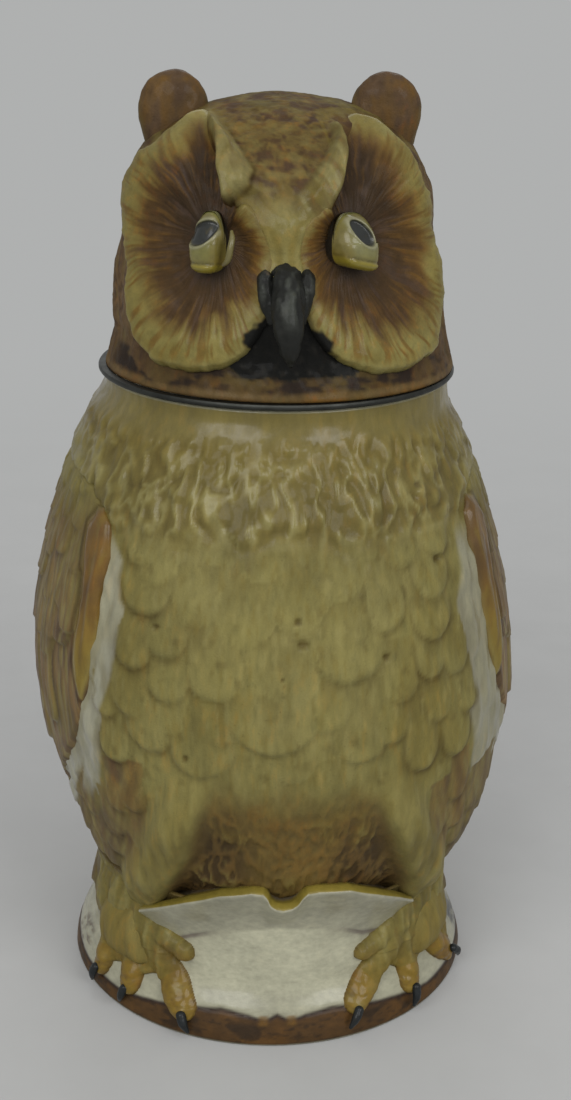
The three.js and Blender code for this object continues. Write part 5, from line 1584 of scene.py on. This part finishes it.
beakSet = {
    "size": (44, 96),  # sides and rings
    "beaks": {  # angle, reach, height, radius
        "beak": [(0, 31.0, 159.8, 1.6), (0, 34.2, 157.4, 2.7), (0, 36.8, 153.4, 3.0), (0, 38.2, 149.4, 2.7),
                 (0, 38.6, 146.0, 1.8), (0, 38.0, 143.4, 0.8)],
        "beakLobeLeft": [(-7.0, 31.4, 158.4, 1.2), (-6.4, 33.2, 156.9, 1.7), (-5.5, 34.3, 154.2, 1.6),
                         (-4.3, 35.2, 150.6, 1.1)],
        "beakLobeRight": [(6.6, 31.4, 158.6, 1.2), (5.9, 33.2, 157.1, 1.7), (5.0, 34.3, 154.2, 1.6),
                          (4.0, 35.2, 150.6, 1.1)],
        "beakCap": [(-3.4, 32.0, 158.8, 1.2), (-0.4, 33.0, 159.4, 1.4), (2.8, 32.2, 158.6, 1.2)],
    },
    "eyelid": [(-17.6, 33.0, 166.0, 0.3), (-16.9, 34.2, 164.9, 0.5), (-17.2, 34.8, 163.0, 0.6),
               (-18.0, 34.6, 161.2, 0.6), (-19.6, 34.2, 160.2, 0.4)],
}


def eyelidSurface(spot, out, share, turn):
    paint = painted(len(share), (0.150, 0.128, 0.046), [("brown", smooth(0.75, 1.0, share) * 0.5)])
    return cloud(spot, 2.2, 96, 2) * 0.06, layered(paint, 1.0)


def beakSurface(spot, out, share, turn):
    lumps, fine = cloud(spot, 2.2, 96, 2), cloud(spot, 0.8, 97, 2)
    ridges = cloud(spot * np.array([1, 0.6, 0.14]), 0.9, 95, 2)
    rise = ridges * 0.42 * (1 - smooth(0.8, 1.0, share)) + lumps * 0.30 + fine * 0.10
    # grey light on the ridges, and a worn brown streak to the left of the middle
    lit = smooth(-0.2, 0.5, ridges + fine * 0.5) * smooth(0.2, 0.95, -out[:, 1]) * between(0.12, 0.6, 0.15, share)
    sideways = spot[:, 0] + out[:, 0] * rise
    worn = smooth(0.25, 0.5, ridges) * (np.abs(sideways + 3.2) < 1.1) * between(0.2, 0.8, 0.1, share)
    paint = painted(len(share), (0.0125, 0.013, 0.011), [
        ((0.050, 0.054, 0.044), lit * 0.85),
        ((0.130, 0.085, 0.045), worn * 0.7),
    ])
    return rise, layered(paint, 0.16)


earSet = {
    "segments": 88, "rings": 64, "half": (6.9, 4.3, 8.4), "place": (20.4, -0.2, 183.4), "lean": 10, "root": 9.0,
}


def addEar(name, sign, material):
    segments, rings = earSet["segments"], earSet["rings"]
    (wide, deep, tall), centre = earSet["half"], earSet["place"]
    lean = earSet["lean"] * deg

    def place(i, j):
        # rings run from the top down: a rounded tab that keeps its width where it runs into the head
        theta, bend = i / segments * 2 * math.pi, j / rings * math.pi
        a, b, c = np.cos(theta) * np.sin(bend), np.sin(theta) * np.sin(bend), np.cos(bend)
        low = c < 0
        power = np.where(low, 5.0, 2.3)
        square = (np.hypot(a, b) ** power + np.abs(c) ** power) ** (1 / power)
        a, b, c = a / square, b / square, c / square
        x, y, z = a * wide, b * deep, np.where(low, c * earSet["root"], c * tall)
        cup = np.exp(-((a / 0.66) ** 2 + ((c - 0.15) / 0.66) ** 2)) * (b < 0)
        y = y + cup * 0.8
        x = x - 1.6 * smooth(0, 1, -c) ** 2
        x, z = x * math.cos(lean) + z * math.sin(lean), z * math.cos(lean) - x * math.sin(lean)
        spot = np.stack([sign * (x + centre[0]), y + centre[1], z + centre[2]], -1)
        strokes = cloud(drawn(spot, 0.35), 1.4, 101)
        lumps = cloud(spot, 4.0, 102)
        spot = spot + np.stack([sign * a, b, c], -1) * (strokes * 0.14 + lumps * 0.45)[:, None]
        paint = painted(len(i), (0.095, 0.058, 0.026), [
            ("orange", smooth(-0.2, 0.5, strokes) * 0.35 + smooth(0.3, 0.9, c) * 0.15),
            ("purple", smooth(-0.1, 0.4, lumps - strokes * 0.4) * 0.5),
            ("brown", smooth(0.2, -0.5, c) * 0.35),
            ("khakiShade", smooth(0.80, 1.0, np.abs(a)) * 0.4),
        ])
        # painted shade in the grooves of the strokes
        return spot, layered(paint, 0.15, smooth(0.2, 0.6, -strokes) * 0.25)

    return gridPiece(name, segments, rings, place, "lid", "head_bisque", material)


handleSet = {
    "size": (64, 220), "half": 5.4, "squash": 0.92,
    "line": [  # distance behind the middle, height
        (20.2, 104.9), (35.5, 116.5), (45.7, 119.0), (60.5, 114.0), (76.3, 97.4), (81.9, 77.5), (73.5, 55.9),
        (52.2, 40.2), (22.5, 34.3),
    ],
    "strap": (0.265, 0.36), "knots": (0.17, 0.45, 0.62, 0.78, 0.9),  # shares of its length
}


def handleCourse(radius):
    return [(180, y, z, radius) for y, z in handleSet["line"]]


def handleSurface(spot, out, share, turn):
    strap = between(*handleSet["strap"], 0.004, share)
    bark = cloud(np.column_stack([np.cos(turn) * 5, np.sin(turn) * 5, share * 26]), 1.0, 111)
    knots = sum(np.exp(-((share - at) / 0.026) ** 2) for at in handleSet["knots"])
    grooves = np.cos(turn * 7 + np.sin(share * 16) * 0.9)
    rise = (bark * 0.45 + grooves * 0.16 + knots * 0.3) * (1 - strap) - strap * 0.1
    paint = painted(len(share), np.array(glaze["brown"]) * 1.15, [
        ("rose", smooth(-0.2, 0.5, bark) * 0.55),
        ("orange", smooth(0.2, 0.7, bark) * 0.35),
        # painted shade in the grooves and at both ends, where the handle meets the body; the knots are darker too
        ("darkBrown", smooth(0.2, 0.8, -grooves) * 0.35 + knots * 0.25),
        ("khakiShade", (smooth(0.10, 0.0, share) + smooth(0.9, 1.0, share)) * 0.5),
    ])
    return rise, layered(paint, 0.35, smooth(0.5, 1.0, -grooves) * 0.25 * (1 - strap))


mountSet = {
    "sides": 160, "hingeY": 52.0, "hingeZ": 136.0, "knuckle": 3.4,
    "spans": [(-10, -6.24), (-5.94, -2.18), (-1.88, 1.88), (2.18, 5.94), (6.24, 10)],
    "rim": [  # radius, height
        (29.4, 130.8), (30.6, 130.8), (30.6, 134.0), (35.5, 134.0), (36.0, 134.1), (36.2, 134.4), (36.2, 134.8),
        (36.0, 135.1), (35.6, 135.2), (29.4, 135.2),
    ],
    "shank": ((-5.94, 37.2, 134.4), (5.94, 48.3, 137.2)), "tongue": (47.0, 134.4, 137.2), "uprightLow": 131.3,
    "neckLow": 119, "neckHigh": 132.3, "neckHalf": 10, "edge": 0.3,
    "bandHalf": 4.5, "bandSides": 72, "bandRings": 600,
    "band": [  # share of its half width, radius
        (-1, 5.6), (-1, 6.9), (-0.9, 7.15), (-0.75, 6.85), (-0.3, 6.75), (0.3, 6.75), (0.75, 6.85), (0.9, 7.15),
        (1, 6.9), (1, 5.6), (-1, 5.6),
    ],
}


def pewterPiece(piece, body, material, nodes, sharp):
    dressed(piece, body, material, nodes)
    bpy.ops.object.shade_smooth_by_angle(angle=sharp * deg)


def turnedPiece(name, profile, sides, body, material, nodes):
    # a ring is added and drawn along its profile by extruding and resizing, until it meets itself
    radius, height = profile[0]
    piece = added(name, bpy.ops.mesh.primitive_circle_add, vertices=sides, radius=radius * mm, location=(0, 0, 0))
    openMesh()
    bpy.ops.transform.translate(value=(0, 0, height * mm))
    for nextRadius, nextHeight in [*profile[1:], profile[0]]:
        bpy.ops.mesh.extrude_region_move(TRANSFORM_OT_translate={"value": (0, 0, (nextHeight - height) * mm)})
        grow = nextRadius / radius
        bpy.ops.transform.resize(value=(grow, grow, 1), center_override=(0, 0, nextHeight * mm))
        radius, height = nextRadius, nextHeight
    closeMesh()
    pewterPiece(piece, body, material, nodes, 40)


def barPiece(name, radius, low, high, body, material, nodes=()):
    # a bar along X about the hinge's axis, its ends rounded over
    size = {"radius": radius * mm, "depth": (high - low) * mm}
    piece = added(name, bpy.ops.mesh.primitive_cylinder_add, vertices=48, **size)
    openMesh()
    bpy.ops.transform.rotate(value=math.pi / 2, orient_axis="Y", center_override=(0, 0, 0))
    bpy.ops.transform.translate(value=((low + high) / 2 * mm, mountSet["hingeY"] * mm, mountSet["hingeZ"] * mm))
    bpy.ops.object.mode_set(mode="OBJECT")
    soften(piece, 0.35)
    pewterPiece(piece, body, material, nodes, 35)


def soften(piece, width):
    bevel = piece.modifiers.new("edge", "BEVEL")
    bevel.width = width * mm
    bevel.segments = 3
    bevel.limit_method = "ANGLE"
    bevel.angle_limit = 40 * deg
    bpy.ops.object.modifier_apply(modifier=bevel.name)


def blockPiece(name, low, high, edge, body, material, shape=None):
    piece = added(name, bpy.ops.mesh.primitive_cube_add, size=1)
    low, high = np.array(low, float), np.array(high, float)
    openMesh()
    bpy.ops.transform.resize(value=(high - low) * mm)
    bpy.ops.transform.translate(value=(low + high) / 2 * mm)
    bpy.ops.mesh.subdivide(number_cuts=3)
    bpy.ops.object.mode_set(mode="OBJECT")
    if shape:
        for vertex in piece.data.vertices:
            vertex.co = [v * mm for v in shape(*(vertex.co / mm))]
    soften(piece, edge)
    pewterPiece(piece, body, material, (), 35)


def addMount(pewter):
    y, z, r = mountSet["hingeY"], mountSet["hingeZ"], mountSet["knuckle"]
    front, under, over = mountSet["tongue"]
    turnedPiece("pewterRim", mountSet["rim"], mountSet["sides"], "lid", pewter, ["lid_rim"])
    for k, (low, high) in enumerate(mountSet["spans"]):
        onLid = k % 2 == 1
        body = "lid" if onLid else "vessel"
        nodes = {0: ["handle_strap"], 1: ["lid_shank"]}.get(k, ())
        barPiece(f"knuckle{k}", r, low, high, body, pewter, nodes)
        if onLid:
            blockPiece(f"tongue{k}", (low, front, under), (high, y, over), mountSet["edge"], body, pewter)
        else:
            ends = (low, y - r, mountSet["uprightLow"]), (high, y + r, z)
            blockPiece(f"upright{k}", *ends, mountSet["edge"], body, pewter)
    blockPiece("shank", *mountSet["shank"], 0.6, "lid", pewter)
    neckLow, neckHigh, half = mountSet["neckLow"], mountSet["neckHigh"], mountSet["neckHalf"]

    def tapered(x, back, level):
        share = (level - neckLow) / (neckHigh - neckLow)
        waist = 5 + 5 * share - 1.2 * math.sin(share * math.pi)
        return x / half * waist, y + (back - y) * (0.82 + 0.18 * share), level

    blockPiece("strapNeck", (-half, y - r, neckLow), (half, y + r, neckHigh), 0.7, "vessel", pewter, tapered)
    addBand(pewter)
    addThumblift(pewter)


def addBand(pewter):
    # the strap is a ring round the handle, with a rolled edge
    sides, profile = mountSet["bandSides"], np.array(mountSet["band"])
    course, spoke = sweep(handleCourse(1.0), sides, mountSet["bandRings"])
    # the ring stands where the upper part of the handle passes under the hinge
    middle = int(np.argmin(np.abs(course[:, 1] - mountSet["hingeY"]) + (course[:, 2] < 100) * 99))
    step = np.linalg.norm(course[middle + 1, :3] - course[middle, :3])

    def place(i, j):
        along, out = profile[j].T
        at = middle + along * (mountSet["bandHalf"] / step)
        low = np.floor(at).astype(int)
        share = (at - low)[:, None]
        centre = course[low, :3] * (1 - share) + course[low + 1, :3] * share
        return centre + spoke[low, i] * out[:, None], {}

    gridPiece("strapBand", sides, len(profile) - 1, place, "vessel", "pewter", pewter)
    bpy.ops.object.shade_smooth_by_angle(angle=40 * deg)


thumbSet = {
    "columns": 80, "rows": 90, "height": 21.0, "low": 137.2, "front": 44.0, "thick": 2.6, "bead": 0.34,
    "outline": (  # share of the height, half width
        [0, 0.16, 0.3, 0.42, 0.52, 0.62, 0.74, 0.84, 0.9, 0.96, 1.0],
        [2.6, 2.5, 2.9, 6.2, 8.0, 8.5, 8.3, 7.3, 5.9, 4.0, 1.2],
    ),
}


def addThumblift(pewter):
    columns, rows = thumbSet["columns"], thumbSet["rows"]
    half, deep, tall = columns // 2, thumbSet["thick"] / 2, thumbSet["height"]

    def place(i, j):
        share = j / rows
        front = i <= half
        across = np.where(front, i / half * 2 - 1, 1 - (i - half) / half * 2)
        x = np.interp(share, *thumbSet["outline"]) * across
        edge = np.sqrt(np.clip(1 - np.abs(across) ** 4, 0, 1))
        ends = np.sqrt(np.clip(1 - (np.abs(share - 0.5) * 2) ** 12, 0, 1))
        above = share - thumbSet["bead"]
        flute = np.cos(np.arctan2(x, above * tall + 1.5) * 9) * smooth(0.36, 0.6, share) * 0.22
        bead = np.exp(-(above / 0.035) ** 2) * 0.35
        thick = deep * (0.8 * edge + 0.2 * edge * ends) * ends
        y = np.where(front, -thick - (flute + bead) * edge * ends * 0.8, thick + flute * edge * ends * 0.4)
        y = np.clip(y, -deep, deep)
        return np.stack([x, thumbSet["front"] + deep + y, thumbSet["low"] + tall * share], -1), {}

    gridPiece("thumblift", columns, rows, place, "lid", "pewter", pewter, ["thumblift"])


addCamera()
addStage()
print("camera, floor and light are set")
finishes = {
    name: paintedFinish(*recipe) for name, recipe in {
        "breast": ("painted breast bisque", (1, 1, 0.30), [(1.18, 0.93, 0.72), (0.78, 0.84, 0.86)]),
        "wing": ("painted wing bisque", (1, 1, 0.16), [(1.25, 0.86, 0.62), (0.72, 0.70, 0.80)], 0.6),
        "book": ("book glaze", (1, 1, 1.6), [(1.05, 0.98, 0.90), (0.93, 0.94, 0.96)], 0.3),
        "toe": ("toe glaze", (1, 1, 1), [(1.2, 0.88, 0.6), (0.85, 0.9, 0.8)], 0.35),
        "head": ("painted head bisque", (1, 1, 0.7), [(1.35, 0.88, 0.60), (0.70, 0.72, 0.82)], 0.7, 0.05),
        "disc": ("painted disc bisque", (1, 1, 0.9), [(1.25, 0.88, 0.62), (0.78, 0.78, 0.84)], 0.6, 0.10),
        "eye": ("eye glaze", (1, 1, 1), [(1.1, 0.97, 0.8), (0.92, 0.96, 0.92)], 0.2),
        "handle": ("handle glaze", (1, 1, 0.6), [(1.25, 0.88, 0.62), (0.75, 0.74, 0.8)], 0.6),
    }.items()
}
pewterFinish = metalFinish("old pewter", (0.062, 0.064, 0.058), 0.36, 0.6)
steelFinish = metalFinish("hinge steel", (0.42, 0.42, 0.42), 0.25, 0.4)

addVessel(finishes["breast"])
print("vessel is shaped")
addWing("wingLeft", "left", wingLeft, finishes["wing"])
addWing("wingRight", "right", wingRight, finishes["wing"])
addTail(finishes["wing"])
print("wings and tail are shaped")
addBook(finishes["book"])
addFoot("footLeft", footSet["left"], finishes["toe"])
addFoot("footRight", footSet["right"], finishes["toe"])
for name, spec in footSet["claws"].items():
    limbPiece(name, spec, footSet["clawSize"], clawSurface, "vessel", "breast_bisque", finishes["toe"])
print("book and feet are shaped")
addHead(finishes["head"])
addDisc("discLeft", discSet["left"], finishes["disc"])
addDisc("discRight", discSet["right"], finishes["disc"])
addEye("eyeLeft", "left", finishes["eye"])
addEye("eyeRight", "right", finishes["eye"])
for name, spec in beakSet["beaks"].items():
    limbPiece(name, spec, beakSet["size"], beakSurface, "lid", "head_bisque", finishes["toe"])
limbPiece("eyelidLeft", beakSet["eyelid"], beakSet["size"], eyelidSurface, "lid", "head_bisque", finishes["toe"])
addEar("earLeft", -1, finishes["head"])
addEar("earRight", 1, finishes["head"])
print("head is shaped")
limbPiece(
    "loopHandle", handleCourse(handleSet["half"]), handleSet["size"], handleSurface, "vessel", "handle_bisque",
    finishes["handle"], ["handle"], handleSet["squash"],
)
addMount(pewterFinish)
solids = {
    "hinge_pin": steelFinish, "pin_cap_left": pewterFinish, "pin_cap_right": pewterFinish,
    "plaster_bed": plasterFinish(),
}
for node, material in solids.items():
    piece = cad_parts[node]
    piece.data.materials.clear()
    piece.data.materials.append(material)
print("handle and mount are shaped")

deselectAll()
